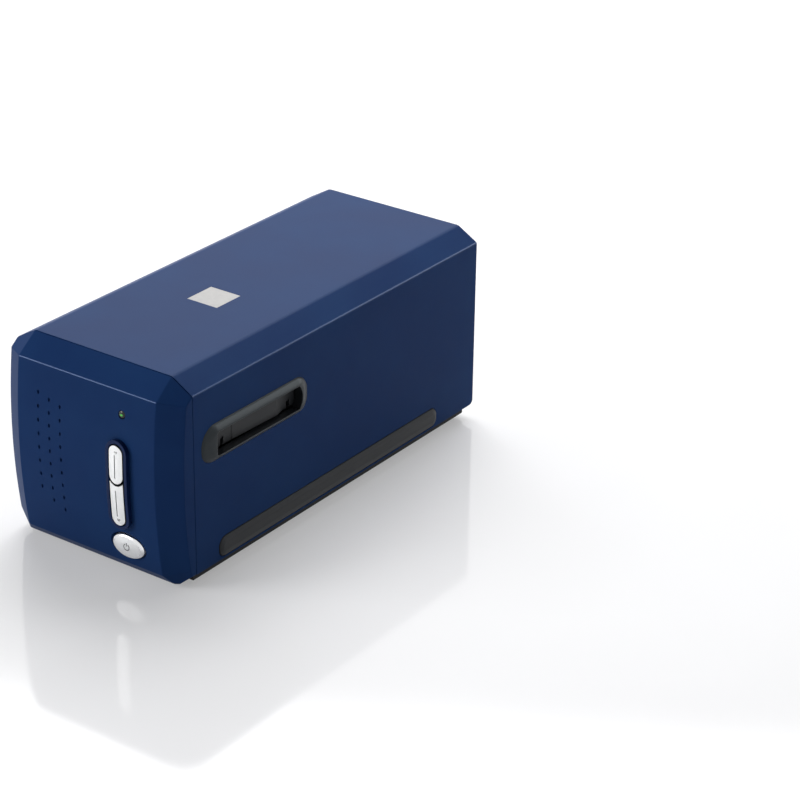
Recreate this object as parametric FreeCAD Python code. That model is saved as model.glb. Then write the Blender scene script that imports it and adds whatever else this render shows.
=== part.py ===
import FreeCAD, Part
import math
import os

# Desktop scanner for 35 mm film, in millimetres.
# +Z is up, the front bezel faces -Y, and the origin is the middle of the footprint on the table.
# Film holders slide through the slots along X, and the scan carriage runs along Y below them.

Vec = FreeCAD.Vector
ALONG_X = Vec(1, 0, 0)
ALONG_Y = Vec(0, 1, 0)
ALONG_Z = Vec(0, 0, 1)

# Clearances, walls and the overrun of every cut
overrun = 1.0
coincident = 1e-6
seat_gap = 0.3
fit_gap = 0.2
shaft_gap = 0.05
thread_gap = 0.05

# Overall body
body_width = 120.0
body_length = 272.0
body_height = 119.0
collar_proud = 2.5
button_dome = 0.5
half_width = body_width / 2
total_length = body_length + collar_proud + button_dome
rear_y = total_length / 2
front_y = rear_y - body_length

# Housing cover
cover_wall = 2.4
cover_bottom = 8.0
chamfer_run = 13.3
chamfer_drop = 7.7
cover_edge_round = 1.0
ceiling_rib_depth = 3.5
ceiling_rib_width = 1.6
ceiling_rib_shares = (0.48, 0.62, 0.76)
rear_ledge_height = 2.0
rear_ledge_width = 1.6
cover_boss_radius = 4.0
cover_boss_length = 26.0
cover_boss_web = 3.0
cover_boss_margin = 10.0
cover_boss_x = half_width - cover_boss_margin
cover_boss_shares = (0.44, 0.8)

# Front bezel
bezel_depth = 16.4
bezel_wall = 2.5
bezel_bottom = 2.5
seam_gap = 0.4
face_bow_radius = 340.0
face_bow_share = 0.5168
face_side_margin = 13.0
top_facet_drop = 10.1
side_facet_depth = 8.2
lower_facet_top = 8.4
lower_facet_setback = 5.0
lower_side_run = 7.0
corner_facet_rise = 2.0
corner_facet_inset = 9.0
lip_length = 4.0
lip_wall = 1.6
lip_bottom = 22.0
seam_y = front_y + bezel_depth
face_bow_height = body_height * face_bow_share
face_half_width = half_width - face_side_margin
face_top = body_height - top_facet_drop

# Dimples in three slanting columns on the bezel's left half
dimple_width = 1.3
dimple_height = 2.3
dimple_depth = 0.9
dimple_column_shares = (-0.5433, -0.4167, -0.29)
dimple_top_shares = (0.779, 0.7597, 0.7429)
dimple_pitches = (7.9, 7.4, 7.6)
dimple_counts = (8, 9, 9)

# Scan buttons and the raised collar round them
button_x_share = 0.3867
upper_button_low_share = 0.4861
lower_button_low_share = 0.2786
upper_button_height = 22.1
button_half_width = 4.6
button_x = half_width * button_x_share
upper_button_low = body_height * upper_button_low_share
upper_button_high = upper_button_low + upper_button_height
lower_button_low = body_height * lower_button_low_share
button_between = 1.2
button_gap = 0.7
button_travel = 0.6
button_flange = 1.3
button_flange_thick = 1.5
button_groove_width = 0.6
button_groove_depth = 0.35
button_groove_margin = 3.2
button_edge_round = 0.5
collar_rim = 3.0
collar_edge_round = 1.0
stem_radius = 2.0

# Power button
power_x_share = 0.4267
power_z_share = 0.1664
power_x = half_width * power_x_share
power_z = body_height * power_z_share
power_half_width = 10.9
power_half_height = 6.8
power_proud = 1.8
power_edge_round = 0.9
power_ring_width = 0.8
power_ring_depth = 1.0
power_flange = 0.8

# Status lamp
lamp_x_share = 0.415
lamp_z_share = 0.8092
lamp_x = half_width * lamp_x_share
lamp_z = body_height * lamp_z_share
lamp_radius = 2.25
lamp_flange_radius = 3.2
lamp_flange_thick = 1.2
lamp_dome = 0.35
lamp_gap = 0.1

# Button board, switches and its screws
board_thick = 1.6
button_board_setback = 3.6
button_board_low = 10.5
button_board_top_margin = 18.0
button_board_left = 5.0
button_board_side_margin = 14.0
button_board_high = body_height - button_board_top_margin
button_board_right = half_width - button_board_side_margin
switch_size = 6.0
switch_depth = 3.5
plunger_radius = 1.7
plunger_reach = 1.0
plunger_sunk = 1.6
lamp_body_radius = 2.4
lamp_body_length = 4.0
board_boss_radius = 3.0
board_boss_inset = 4.0
board_boss_shares = (0.25, 0.98)

# Screws
small_screw_radius = 1.2
small_screw_head_radius = 2.4
small_screw_head_thick = 1.4
small_screw_length = 6.0
big_screw_radius = 1.6
big_screw_head_radius = 3.2
big_screw_head_thick = 2.0
big_screw_length = 16.0
screw_slot_width = 0.7
screw_slot_depth = 0.7

# Slot, its trim and the dust door
slot_length = 71.4
slot_height = 13.6
slot_setback = 51.3
slot_bulge = 2.6
slot_corner_round = 1.5
trim_front_flange = 9.7
trim_rear_flange = 7.1
trim_top_flange = 4.0
trim_bottom_flange = 3.4
trim_proud = 3.0
trim_crest_round = 2.4
trim_round_top_front = 11.0
trim_round_low_front = 8.0
trim_round_top_rear = 9.5
trim_round_low_rear = 8.0
neck_wall = 1.1
neck_depth = 3.2
sill_depth = 2.4
slot_centre_y = seam_y + slot_setback
slot_front = slot_centre_y - slot_length / 2
slot_rear = slot_centre_y + slot_length / 2

door_recess = 4.2
door_thick = 1.5
door_side_gap = 0.5
door_low_gap = 0.9
door_panel_proud = 2.2
door_panel_length = 38.9
door_panel_drop = 0.5
door_notch_width = 1.4
door_notch_height = 3.4
door_notch_shares = (0.135, 0.935)
hinge_above_slot = 1.5
hinge_pin_radius = 0.75
knuckle_wall = 0.7
knuckle_length = 6.0
knuckle_count = 3
ear_thick = 2.6
ear_margin = 2.2
ear_reach = 2.4
door_spring_wire = 0.35
door_spring_length = 6.2
door_spring_leg = 8.0
door_spring_leg_radius = 0.25

# Side strips
strip_front = -99.5
strip_rear = 99.5
strip_low = 9.2
strip_high = 21.2
strip_sunk = 0.8
strip_proud = 1.2
strip_round_top = 5.5
strip_round_low = 4.5
strip_crest_round = 1.0

# Sticker on the top
sticker_size_x = 20.5
sticker_size_y = 20.0
sticker_x = 0.6
sticker_setback = 89.4
sticker_thick = 0.2
sticker_pocket = 0.2
sticker_gap = 0.15

# Base tray and feet
tray_bottom = 3.5
tray_floor = 2.5
tray_wall = 2.0
tray_wall_top = 17.0
tray_rear_wall_top = 11.0
tray_side_gap = 0.4
tray_front_margin = 5.2
tray_round = 4.0
tray_rib_width = 1.6
tray_rib_height = 4.0
tray_rib_shares = (0.2, 0.42, 0.56)
foot_radius = 6.5
foot_sunk = 0.6
foot_edge_round = 0.8
foot_side_margin = 16.0
foot_x = half_width - foot_side_margin
foot_front_margin = 22.0
foot_rear_margin = 20.0
foot_gap = 0.15
screw_well = 3.0
cover_post_radius = 5.0
cover_post_top = 13.0

# Rear panel and sockets
panel_wall = 2.2
panel_inset = 1.2
usb_width = 12.0
usb_height = 11.0
usb_length = 16.0
usb_x_share = -0.5909
usb_mouth_width = 8.6
usb_mouth_height = 7.9
usb_mouth_depth = 9.0
usb_mouth_bevel = 1.6
usb_tongue_width = 5.6
usb_tongue_height = 3.2
jack_x_share = 0.4091
jack_width = 9.0
jack_height = 11.0
jack_length = 13.0
jack_nose_radius = 4.0
jack_nose_length = 2.0
jack_bore_radius = 3.1
jack_bore_depth = 9.5
jack_pin_radius = 1.0

# Main board
main_board_bottom = 12.0
main_board_side_margin = 16.0
main_board_rear_margin = 6.4
main_board_gap = 0.5
main_board_half_width = half_width - main_board_side_margin
main_post_radius = 3.0
main_post_inset = 5.0
chip_height = 1.4
chip_sizes = ((14.0, 14.0), (6.0, 12.0), (6.0, 8.0))
chip_place_shares = ((0.386, 0.4), (0.799, 0.35), (0.523, 0.35))
capacitor_radius = 2.6
capacitor_height = 8.0
capacitor_place_shares = ((0.602, 0.7), (0.875, 0.55))

# Chassis plate with rod brackets
sheet = 1.5
chassis_share = 0.2353
chassis_wide_margin = 7.0
chassis_narrow_margin = 16.0
chassis_front_margin = 8.1
chassis_wide_length = 89.0
chassis_length = 200.0
chassis_corner_round = 3.0
bracket_half_width = 8.0
bracket_above_rod = 8.0
chassis_post_radius = 3.6
chassis_post_front_margin = 18.0
chassis_post_rear_margin = 6.0
chassis_post_side_margin = 5.0
chassis_post_middle_share = 0.69
chassis_bottom = body_height * chassis_share
chassis_wide_half = half_width - chassis_wide_margin
chassis_narrow_half = half_width - chassis_narrow_margin
chassis_front = seam_y + chassis_front_margin
chassis_step = chassis_front + chassis_wide_length
chassis_rear = chassis_front + chassis_length
main_board_front = chassis_rear + main_board_gap

# Guide rods and scan carriage
rod_radius = 3.0
rod_side_margin = 22.0
rod_rise = 6.5
rod_x = half_width - rod_side_margin
rod_end_margin = 5.4
rod_overhang = 1.5
carriage_rod_gap = 9.0
carriage_wheel_gap = 1.7
carriage_floor = 2.0
carriage_wall = 2.0
carriage_height = 20.0
carriage_head_room = 5.0
carriage_front_margin = 25.1
carriage_half_width = rod_x - carriage_rod_gap
carriage_front = seam_y + carriage_front_margin
carriage_length = 116.0
carriage_travel = 32.0
rod_rear_y = carriage_front + carriage_length + board_thick + carriage_travel + rod_end_margin
ear_front_shares = (0.03, 0.84)
carriage_ear_length = 14.0
carriage_ear_radius = 6.0
bush_radius = 4.5
shoe_length = 20.0
shoe_share = 0.42
mirror_side = 24.0
mirror_side_room = 2.0
mirror_width = 2 * (carriage_half_width - carriage_wall - mirror_side_room)
mirror_thick = 2.0
mirror_rest_thick = 2.0
mirror_share = 0.13
lens_radius = 8.0
lens_length = 34.0
lens_share = 0.66
lens_rise = 10.5
lens_glass_radius = 6.0
lens_rim = 1.2
lens_cradle_thick = 6.0
sensor_board_side_room = 2.0
sensor_board_width = 2 * (carriage_half_width - sensor_board_side_room)
sensor_board_height = 17.0
sensor_chip_share = 0.7407
sensor_chip_width = sensor_board_width * sensor_chip_share
sensor_chip_height = 7.0
sensor_chip_depth = 2.4
clamp_length = 12.0
clamp_wall = 1.2
clamp_share = 0.3
flag_width = 1.2
flag_length = 9.0
flag_drop = 8.0

# Film guides
film_floor_thick = 3.5
film_floor_margin = 9.0
film_wall_gap = 1.0
film_wall = 2.0
door_swing_room = 3.0
film_roof_thick = 3.0
film_window_x = 38.0
film_window_y = 27.0
film_leg = 6.0
film_leg_margin = 12.0
film_leg_x = half_width - film_leg_margin
film_floor_half = half_width - film_floor_margin

# Lamp box above the film
lamp_box_head_room = 7.9
lamp_box_side_room = 9.0
lamp_box_half_y = 25.0
lamp_box_wall = 2.0
diffuser_margin = 2.5
diffuser_thick = 2.0
lamp_chip = 3.0
lamp_chip_height = 1.0
lamp_chip_pitch = 8.0
lamp_chip_rows = 3
lamp_chip_columns = 4

# Drive: motor, gears, belt, pulleys and tension spring
gear_module = 0.7
drive_teeth = 40
pinion_teeth = 16
pressure_angle = 20.0
gear_backlash = 0.16
gear_root_gap = 0.2
gear_centre_gap = 0.06
gear_width = 4.0
gear_lift = 1.0
pulley_radius = 6.0
pulley_flange_radius = 8.0
pulley_flange = 1.0
belt_width = 5.0
belt_thick = 1.2
belt_side_gap = 0.3
stud_radius = 2.0
drive_x = 0.0
idler_front_margin = 9.0
idler_y = chassis_front + idler_front_margin
idler_base_thick = 0.8
idler_base_length = 22.0
idler_base_width = 14.0
spring_radius = 2.0
spring_wire = 0.4
spring_length = 12.0
spring_lug_half = 4.0
spring_lug_height = 6.0
spring_lug_thick = 1.2
motor_radius = 12.5
motor_length = 14.0
motor_flange_thick = 1.0
motor_ear_span = 17.5
motor_ear_radius = 3.5
motor_shaft_radius = 1.0
motor_angle = 35.0

# Home sensor and ribbon cable
sensor_arm = 2.0
sensor_slot = 3.0
sensor_depth = 6.0
sensor_height = 10.0
sensor_clearance = 1.0
ribbon_thick = 0.4
ribbon_width = 7.0
ribbon_x = 31.0
ribbon_bend = 1.4
ribbon_start_z = 21.0
ribbon_margin = 5.0


# Heights and places that follow from the sizes above
usb_x = main_board_half_width * usb_x_share
jack_x = main_board_half_width * jack_x_share
chassis_top = chassis_bottom + sheet
gear_low = chassis_top + gear_lift
gear_high = gear_low + gear_width
wheel_top = gear_high + 2 * pulley_flange + belt_width + belt_side_gap
carriage_floor_z = wheel_top + carriage_wheel_gap
carriage_top = carriage_floor_z + carriage_height
rod_z = carriage_floor_z + rod_rise
lens_z = carriage_floor_z + lens_rise
bracket_top = rod_z + bracket_above_rod
slot_bottom = carriage_top + carriage_head_room + film_floor_thick
slot_top = slot_bottom + slot_height
roof_top = slot_top + film_roof_thick
lamp_box_height = body_height - cover_wall - lamp_box_head_room - board_thick - roof_top
drive_y = rod_rear_y


# Basic solids

def box(x0, x1, y0, y1, z0, z1):
    return Part.makeBox(x1 - x0, y1 - y0, z1 - z0, Vec(x0, y0, z0))


def cylinder(radius, start, end):
    return Part.makeCylinder(radius, (end - start).Length, start, end - start)


def tube(outer, inner, start, end):
    along = (end - start).normalize() * overrun
    return cylinder(outer, start, end).cut(cylinder(inner, start - along, end + along))


def corner_arc(before, corner, after, radius):
    to_before = (before - corner).normalize()
    to_after = (after - corner).normalize()
    half_angle = to_before.getAngle(to_after) / 2
    back = radius / math.tan(half_angle)
    middle = (to_before + to_after).normalize() * (radius / math.sin(half_angle) - radius)
    return corner + to_before * back, corner + middle, corner + to_after * back


def rounded_wire(points, radii):
    """A closed outline of straight runs, with a tangent arc at each corner that has a radius."""
    corners = []
    for index, corner in enumerate(points):
        if radii[index] > 0:
            after = points[(index + 1) % len(points)]
            corners.append(corner_arc(points[index - 1], corner, after, radii[index]))
        else:
            corners.append((corner, None, corner))
    edges = []
    for index, (start, middle, end) in enumerate(corners):
        if middle is not None:
            edges.append(Part.Arc(start, middle, end).toShape())
        following = corners[(index + 1) % len(corners)][0]
        if (following - end).Length > coincident:
            edges.append(Part.LineSegment(end, following).toShape())
    return Part.Wire(Part.__sortEdges__(edges))


def prism(wire, along):
    return Part.Face(wire).extrude(along)


def plate_xz(points, radii, y0, y1):
    return prism(rounded_wire([Vec(x, y0, z) for x, z in points], radii), ALONG_Y * (y1 - y0))


def plate_yz(points, radii, x0, x1):
    return prism(rounded_wire([Vec(x0, y, z) for y, z in points], radii), ALONG_X * (x1 - x0))


def plate_xy(points, radii, z0, z1):
    return prism(rounded_wire([Vec(x, y, z0) for x, y in points], radii), ALONG_Z * (z1 - z0))


def corners(a0, a1, b0, b1):
    return [(a0, b0), (a1, b0), (a1, b1), (a0, b1)]


def capsule_xz(x, half, low, high, y0, y1):
    return plate_xz(corners(x - half, x + half, low, high), [half] * 4, y0, y1)


def fuse_all(solids):
    result = solids[0]
    for solid in solids[1:]:
        result = result.fuse(solid)
    return result.removeSplitter()


def mirror_x(solid):
    return solid.mirror(Vec(0, 0, 0), ALONG_X)


def share_between(start, end, share):
    return start + (end - start) * share


def round_edges(solid, radius, wanted):
    """Rounds the edges whose middle passes the given test."""
    edges = [edge for edge in solid.Edges if wanted(edge.CenterOfMass)]
    return solid.makeFillet(radius, edges)


# Cross-sections of the housing

def section_points(inset, bottom):
    slope = math.hypot(chamfer_run, chamfer_drop)
    side = half_width - inset
    top = body_height - inset
    knee_z = body_height - chamfer_drop - inset * (slope - chamfer_drop) / chamfer_run
    knee_x = half_width - chamfer_run - inset * (slope - chamfer_run) / chamfer_drop
    return [(-side, bottom), (side, bottom), (side, knee_z), (knee_x, top), (-knee_x, top), (-side, knee_z)]


def section_block(inset, bottom, y0, y1, rounding):
    return plate_xz(section_points(inset, bottom), [0, 0] + [rounding] * 4, y0, y1)


# Housing cover

panel_front = rear_y - panel_inset - panel_wall


def strip_block(grow, x0, x1):
    outline = corners(strip_front - grow, strip_rear + grow, strip_low - grow, strip_high + grow)
    low = strip_round_low + grow
    high = strip_round_top + grow
    return plate_yz(outline, [low, low, high, high], x0, x1)


def slot_block(grow, x0, x1):
    """A prism through the slot's outline: straight front end, gently bowed rear end."""
    low = slot_bottom - grow
    high = slot_top + grow
    shoulder = slot_rear - slot_bulge + grow
    rounding = slot_corner_round + grow
    front = slot_front - grow
    low_in, low_mid, low_out = corner_arc(Vec(x0, shoulder, low), Vec(x0, front, low), Vec(x0, front, high),
                                          rounding)
    top_in, top_mid, top_out = corner_arc(Vec(x0, front, low), Vec(x0, front, high), Vec(x0, shoulder, high),
                                          rounding)
    low_rear = Vec(x0, shoulder, low)
    top_rear = Vec(x0, shoulder, high)
    edges = [Part.Arc(low_in, low_mid, low_out).toShape(), Part.LineSegment(low_out, top_in).toShape()]
    edges += [Part.Arc(top_in, top_mid, top_out).toShape(), Part.LineSegment(top_out, top_rear).toShape()]
    edges += [Part.Arc(top_rear, Vec(x0, slot_rear + grow, (low + high) / 2), low_rear).toShape()]
    edges += [Part.LineSegment(low_rear, low_in).toShape()]
    return prism(Part.Wire(edges), ALONG_X * (x1 - x0))


def cover_boss_places():
    places = []
    for share in cover_boss_shares:
        y = share_between(seam_y, rear_y, share)
        places += [(-cover_boss_x, y), (cover_boss_x, y)]
    return places


def cover_boss(x, y):
    base = cover_post_top
    boss = tube(cover_boss_radius, big_screw_radius + thread_gap, Vec(x, y, base),
                Vec(x, y, base + cover_boss_length))
    outward = math.copysign(1, x)
    wall_x = outward * (half_width - cover_wall / 2)
    inner_x = x + outward * (big_screw_radius + thread_gap + fit_gap)
    web_half = cover_boss_web / 2
    web = box(min(inner_x, wall_x), max(inner_x, wall_x), y - web_half, y + web_half,
              tray_wall_top + seat_gap, base + cover_boss_length)
    cap = cylinder(cover_boss_radius, Vec(x, y, base + cover_boss_length - cover_wall),
                   Vec(x, y, base + cover_boss_length))
    return fuse_all([boss, web, cap])


def housing_cover():
    outer = section_block(0, cover_bottom, seam_y, rear_y, cover_edge_round)
    hollow = section_block(cover_wall, cover_bottom - overrun, seam_y - overrun, rear_y + overrun, 0)
    cover = outer.cut(hollow)
    ribs = []
    for share in ceiling_rib_shares:
        y = share_between(seam_y, rear_y, share)
        rib_low = body_height - cover_wall - ceiling_rib_depth
        rib = box(-half_width, half_width, y, y + ceiling_rib_width, rib_low, body_height)
        ribs.append(rib.common(section_block(cover_wall / 2, cover_bottom, seam_y, rear_y, 0)))
    ledge_low = tray_wall_top + seat_gap
    ledge = section_block(cover_wall / 2, ledge_low, panel_front - rear_ledge_width, panel_front, 0)
    ledge_hole = section_block(cover_wall + rear_ledge_height, cover_bottom - overrun, seam_y, rear_y, 0)
    ribs.append(ledge.cut(ledge_hole))
    for x, y in cover_boss_places():
        ribs.append(cover_boss(x, y))
    cover = fuse_all([cover] + ribs)
    inner_x = half_width - cover_wall - overrun
    for slot in (slot_block(neck_wall + fit_gap, inner_x, half_width + overrun),
                 strip_block(fit_gap, half_width - strip_sunk, half_width + overrun)):
        cover = cover.cut(slot).cut(mirror_x(slot))
    return cover.cut(sticker_block(sticker_gap, body_height - sticker_pocket, body_height + overrun))


# Sticker on the top

def sticker_block(grow, z0, z1):
    middle_y = seam_y + sticker_setback
    half_x = sticker_size_x / 2 + grow
    half_y = sticker_size_y / 2 + grow
    return box(sticker_x - half_x, sticker_x + half_x, middle_y - half_y, middle_y + half_y, z0, z1)


def top_sticker():
    low = body_height - sticker_pocket
    return sticker_block(0, low, low + sticker_thick)


# Side strips and slot trims

def side_strip():
    """A long pad in a shallow pocket, crowned along its upper and lower edges."""
    strip = strip_block(0, half_width - strip_sunk, half_width + strip_proud)
    outer_x = half_width + strip_proud
    return round_edges(strip, strip_crest_round, lambda c: abs(c.x - outer_x) < coincident)


def trim_flange():
    front = slot_front - trim_front_flange
    rear = slot_rear + trim_rear_flange
    outline = corners(front, rear, slot_bottom - trim_bottom_flange, slot_top + trim_top_flange)
    radii = [trim_round_low_front, trim_round_low_rear, trim_round_top_rear, trim_round_top_front]
    flange = plate_yz(outline, radii, half_width, half_width + trim_proud)
    outer_x = half_width + trim_proud
    return round_edges(flange, trim_crest_round, lambda c: abs(c.x - outer_x) < coincident)


hinge_x = half_width - door_recess - door_thick / 2
hinge_z = slot_top + hinge_above_slot
hinge_inner_x = hinge_x - ear_reach


def hinge_ear(y0, y1):
    outer_x = half_width - cover_wall - 2 * fit_gap
    ear = box(hinge_inner_x, outer_x, y0, y1, slot_bottom + slot_height / 2, hinge_z + ear_margin)
    bore_radius = hinge_pin_radius + shaft_gap / 2
    return ear.cut(cylinder(bore_radius, Vec(hinge_x, y0 - overrun, hinge_z),
                            Vec(hinge_x, y1 + overrun, hinge_z)))


def slot_trim():
    """A crowned surround with a neck through the cover and two ears that hold the door's hinge pin."""
    neck = slot_block(neck_wall, half_width - neck_depth, half_width + coincident + trim_proud / 2)
    solid = fuse_all([trim_flange(), neck])
    solid = solid.cut(slot_block(0, half_width - neck_depth - overrun, half_width + trim_proud + overrun))
    sill_cut = box(half_width - neck_depth - overrun, half_width - sill_depth, slot_front - overrun,
                   slot_rear + overrun, slot_bottom - neck_wall - overrun, slot_bottom + overrun)
    solid = solid.cut(sill_cut)
    ears = [hinge_ear(slot_front - ear_thick, slot_front), hinge_ear(slot_rear, slot_rear + ear_thick)]
    return fuse_all([solid] + ears)


# Dust door, its pin and its spring

door_front = slot_front + door_side_gap
door_rear = slot_rear - door_side_gap
door_outer_x = half_width - door_recess
door_inner_x = door_outer_x - door_thick
knuckle_radius = hinge_pin_radius + shaft_gap + knuckle_wall
door_low = slot_bottom + door_low_gap


def knuckle_starts():
    last = door_rear - knuckle_length
    return [share_between(door_front, last, index / (knuckle_count - 1)) for index in range(knuckle_count)]


def dust_door():
    """A flap that hangs from its knuckles, with a raised middle panel and two notches in its lower edge."""
    leaf = box(door_inner_x, door_outer_x, door_front, door_rear, door_low, hinge_z - knuckle_radius)
    pieces = [leaf]
    pin_hole = hinge_pin_radius + shaft_gap
    for start in knuckle_starts():
        knuckle = cylinder(knuckle_radius, Vec(hinge_x, start, hinge_z),
                           Vec(hinge_x, start + knuckle_length, hinge_z))
        neck = box(door_inner_x, door_outer_x, start, start + knuckle_length, hinge_z - knuckle_radius,
                   hinge_z)
        pieces += [knuckle, neck]
    middle = slot_centre_y
    panel_half = door_panel_length / 2
    panel_low = slot_bottom + door_panel_drop
    panel_top = slot_top - door_panel_drop
    bevel = door_panel_proud / 2
    outline = [(middle - panel_half, panel_low), (middle + panel_half, panel_low),
               (middle + panel_half, panel_top), (middle - panel_half, panel_top)]
    panel = plate_yz(outline, [0] * len(outline), door_inner_x, door_outer_x + door_panel_proud)
    outer_x = door_outer_x + door_panel_proud
    panel = round_edges(panel, bevel, lambda c: abs(c.x - outer_x) < coincident and abs(c.y - middle) > bevel)
    door = fuse_all(pieces + [panel])
    bore = cylinder(pin_hole, Vec(hinge_x, door_front - overrun, hinge_z),
                    Vec(hinge_x, door_rear + overrun, hinge_z))
    door = door.cut(bore)
    for share in door_notch_shares:
        y = share_between(slot_front, slot_rear, share)
        half = door_notch_width / 2
        door = door.cut(box(door_inner_x - overrun, door_outer_x + overrun, y - half, y + half,
                            door_low - overrun, door_low + door_notch_height))
    return door


def door_pin():
    return cylinder(hinge_pin_radius, Vec(hinge_x, slot_front - ear_thick, hinge_z),
                    Vec(hinge_x, slot_rear + ear_thick, hinge_z))


def door_spring():
    """A sleeve in the place of the coil round the pin, with one leg that lies along the flap's inner face."""
    bore = hinge_pin_radius + shaft_gap
    start = knuckle_starts()[0] + knuckle_length + seat_gap
    wound = tube(bore + 2 * door_spring_wire, bore, Vec(hinge_x, start, hinge_z),
                 Vec(hinge_x, start + door_spring_length, hinge_z))
    leg_x = hinge_x - bore - door_spring_wire
    leg_y = start + door_spring_wire
    leg = cylinder(door_spring_leg_radius, Vec(leg_x, leg_y, hinge_z - door_spring_leg),
                   Vec(leg_x, leg_y, hinge_z))
    return fuse_all([wound, leg])


# Front bezel

def face_y(z, inset):
    """Where the bowed front face, moved inwards by the inset, lies at a height."""
    radius = face_bow_radius - inset
    return front_y + face_bow_radius - math.sqrt(radius ** 2 - (z - face_bow_height) ** 2)


def bow_section(inset, x, back):
    low = bezel_bottom
    high = body_height
    start = Vec(x, face_y(low, inset), low)
    middle = Vec(x, face_y(face_bow_height, inset), face_bow_height)
    end = Vec(x, face_y(high, inset), high)
    edges = [Part.Arc(start, middle, end).toShape(), Part.LineSegment(end, Vec(x, back, high)).toShape()]
    edges += [Part.LineSegment(Vec(x, back, high), Vec(x, back, low)).toShape()]
    edges += [Part.LineSegment(Vec(x, back, low), start).toShape()]
    return Part.Face(Part.Wire(edges))


def cut_beyond(solid, points, inset):
    """Cuts away what lies outside the plane through three points, moved inwards by the inset."""
    first, second, third = points
    outward = (second - first).cross(third - first).normalize()
    inside = Vec(0, 0, body_height / 2)
    if outward.dot(inside - first) > 0:
        outward = outward * -1
    middle = (first + second + third) / 3 - outward * inset
    return solid.cut(Part.makeCylinder(body_length, body_length, middle, outward))


def facet_planes():
    """Three points on each facet that trims the bowed block, for the right side and the middle."""
    side_top = Vec(half_width, seam_y, body_height - chamfer_drop)
    roof_edge = Vec(half_width - chamfer_run, seam_y, body_height)
    face_corner = Vec(face_half_width, face_y(face_top, 0), face_top)
    across = Vec(-face_half_width, face_y(face_top, 0), face_top)
    top = (roof_edge, face_corner, across)
    top_corner = (roof_edge, side_top, face_corner)
    low_y = face_y(lower_facet_top, 0)
    low_face = Vec(face_half_width, low_y, lower_facet_top)
    low_across = Vec(-face_half_width, low_y, lower_facet_top)
    low_edge = Vec(0, low_y + lower_facet_setback, bezel_bottom)
    bottom = (low_face, low_across, low_edge)
    side_low = Vec(half_width, seam_y, lower_facet_top)
    side_low_front = Vec(half_width, front_y, lower_facet_top)
    side_under = Vec(half_width - lower_side_run, seam_y, bezel_bottom)
    bottom_side = (side_low, side_low_front, side_under)
    corner_side = Vec(half_width, low_y + side_facet_depth, lower_facet_top + corner_facet_rise)
    corner_under = Vec(half_width - corner_facet_inset, low_y + lower_facet_setback, bezel_bottom)
    bottom_corner = (low_face, corner_side, corner_under)
    return [top, bottom], [top_corner, bottom_side, bottom_corner]


def bezel_block(inset, back):
    """The bezel's faceted form: one bowed section swept across the face and slantwise along each side."""
    run = half_width - face_half_width
    slant = math.hypot(run, side_facet_depth)
    edge_x = face_half_width - inset * (slant - run) / side_facet_depth
    edge_back = side_facet_depth + inset * (slant - side_facet_depth) / run
    section = bow_section(inset, -edge_x, back)
    middle = section.extrude(ALONG_X * (2 * edge_x))
    wing_section = bow_section(inset, edge_x, back)
    wing = wing_section.extrude(Vec(half_width - inset - edge_x, edge_back - inset, 0))
    block = fuse_all([middle, wing, mirror_x(wing)])
    limits = box(inset - half_width, half_width - inset, front_y - overrun, back, bezel_bottom + inset,
                 body_height - inset)
    block = block.common(limits)
    middle_planes, side_planes = facet_planes()
    for points in middle_planes:
        block = cut_beyond(block, points, inset)
    for points in side_planes:
        block = cut_beyond(block, points, inset)
        block = cut_beyond(block, [Vec(-p.x, p.y, p.z) for p in points], inset)
    return block


def bow_drum(grow):
    """A drum whose round is the bowed face moved outwards, to trim what stands on the face."""
    centre_y = front_y + face_bow_radius
    return cylinder(face_bow_radius + grow, Vec(-half_width, centre_y, face_bow_height),
                    Vec(half_width, centre_y, face_bow_height))


def oval_block(grow, y0, y1):
    half_x = power_half_width + grow
    half_z = power_half_height + grow
    ellipse = Part.Ellipse(Vec(half_x, 0, 0), Vec(0, half_z, 0), Vec(0, 0, 0)).toShape()
    face = Part.Face(Part.Wire([ellipse]))
    face.rotate(Vec(0, 0, 0), ALONG_X, 90)
    face.translate(Vec(power_x, y0, power_z))
    return face.extrude(ALONG_Y * (y1 - y0))


collar_half = button_half_width + button_gap + collar_rim
collar_low = lower_button_low - button_gap - collar_rim
collar_high = upper_button_high + button_gap + collar_rim
board_front = seam_y - button_board_setback
flange_front = face_y(collar_low, bezel_wall) + fit_gap
power_flange_front = face_y(power_z - power_half_height - button_gap - power_flange, bezel_wall) + 2 * fit_gap


def board_boss_places():
    places = []
    for share in board_boss_shares:
        z = share_between(button_board_low + board_boss_inset, button_board_high - board_boss_inset, share)
        places += [(button_board_left + board_boss_inset, z), (button_board_right - board_boss_inset, z)]
    return places


def collar():
    """The raised ring round the scan buttons, bowed like the face and rounded along its rim."""
    outer = capsule_xz(button_x, collar_half, collar_low, collar_high, front_y - overrun - collar_proud,
                       front_y + bezel_wall)
    ring = outer.common(bow_drum(collar_proud))
    limit_y = front_y + collar_proud
    return round_edges(ring, collar_edge_round, lambda c: c.y < limit_y - collar_proud)


def dimple(x, z):
    half_x = dimple_width / 2
    half_z = dimple_height / 2
    outline = corners(x - half_x, x + half_x, z - half_z, z + half_z)
    floor_y = face_y(z, 0) + dimple_depth
    return plate_xz(outline, [half_x] * 4, front_y - overrun, floor_y)


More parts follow.
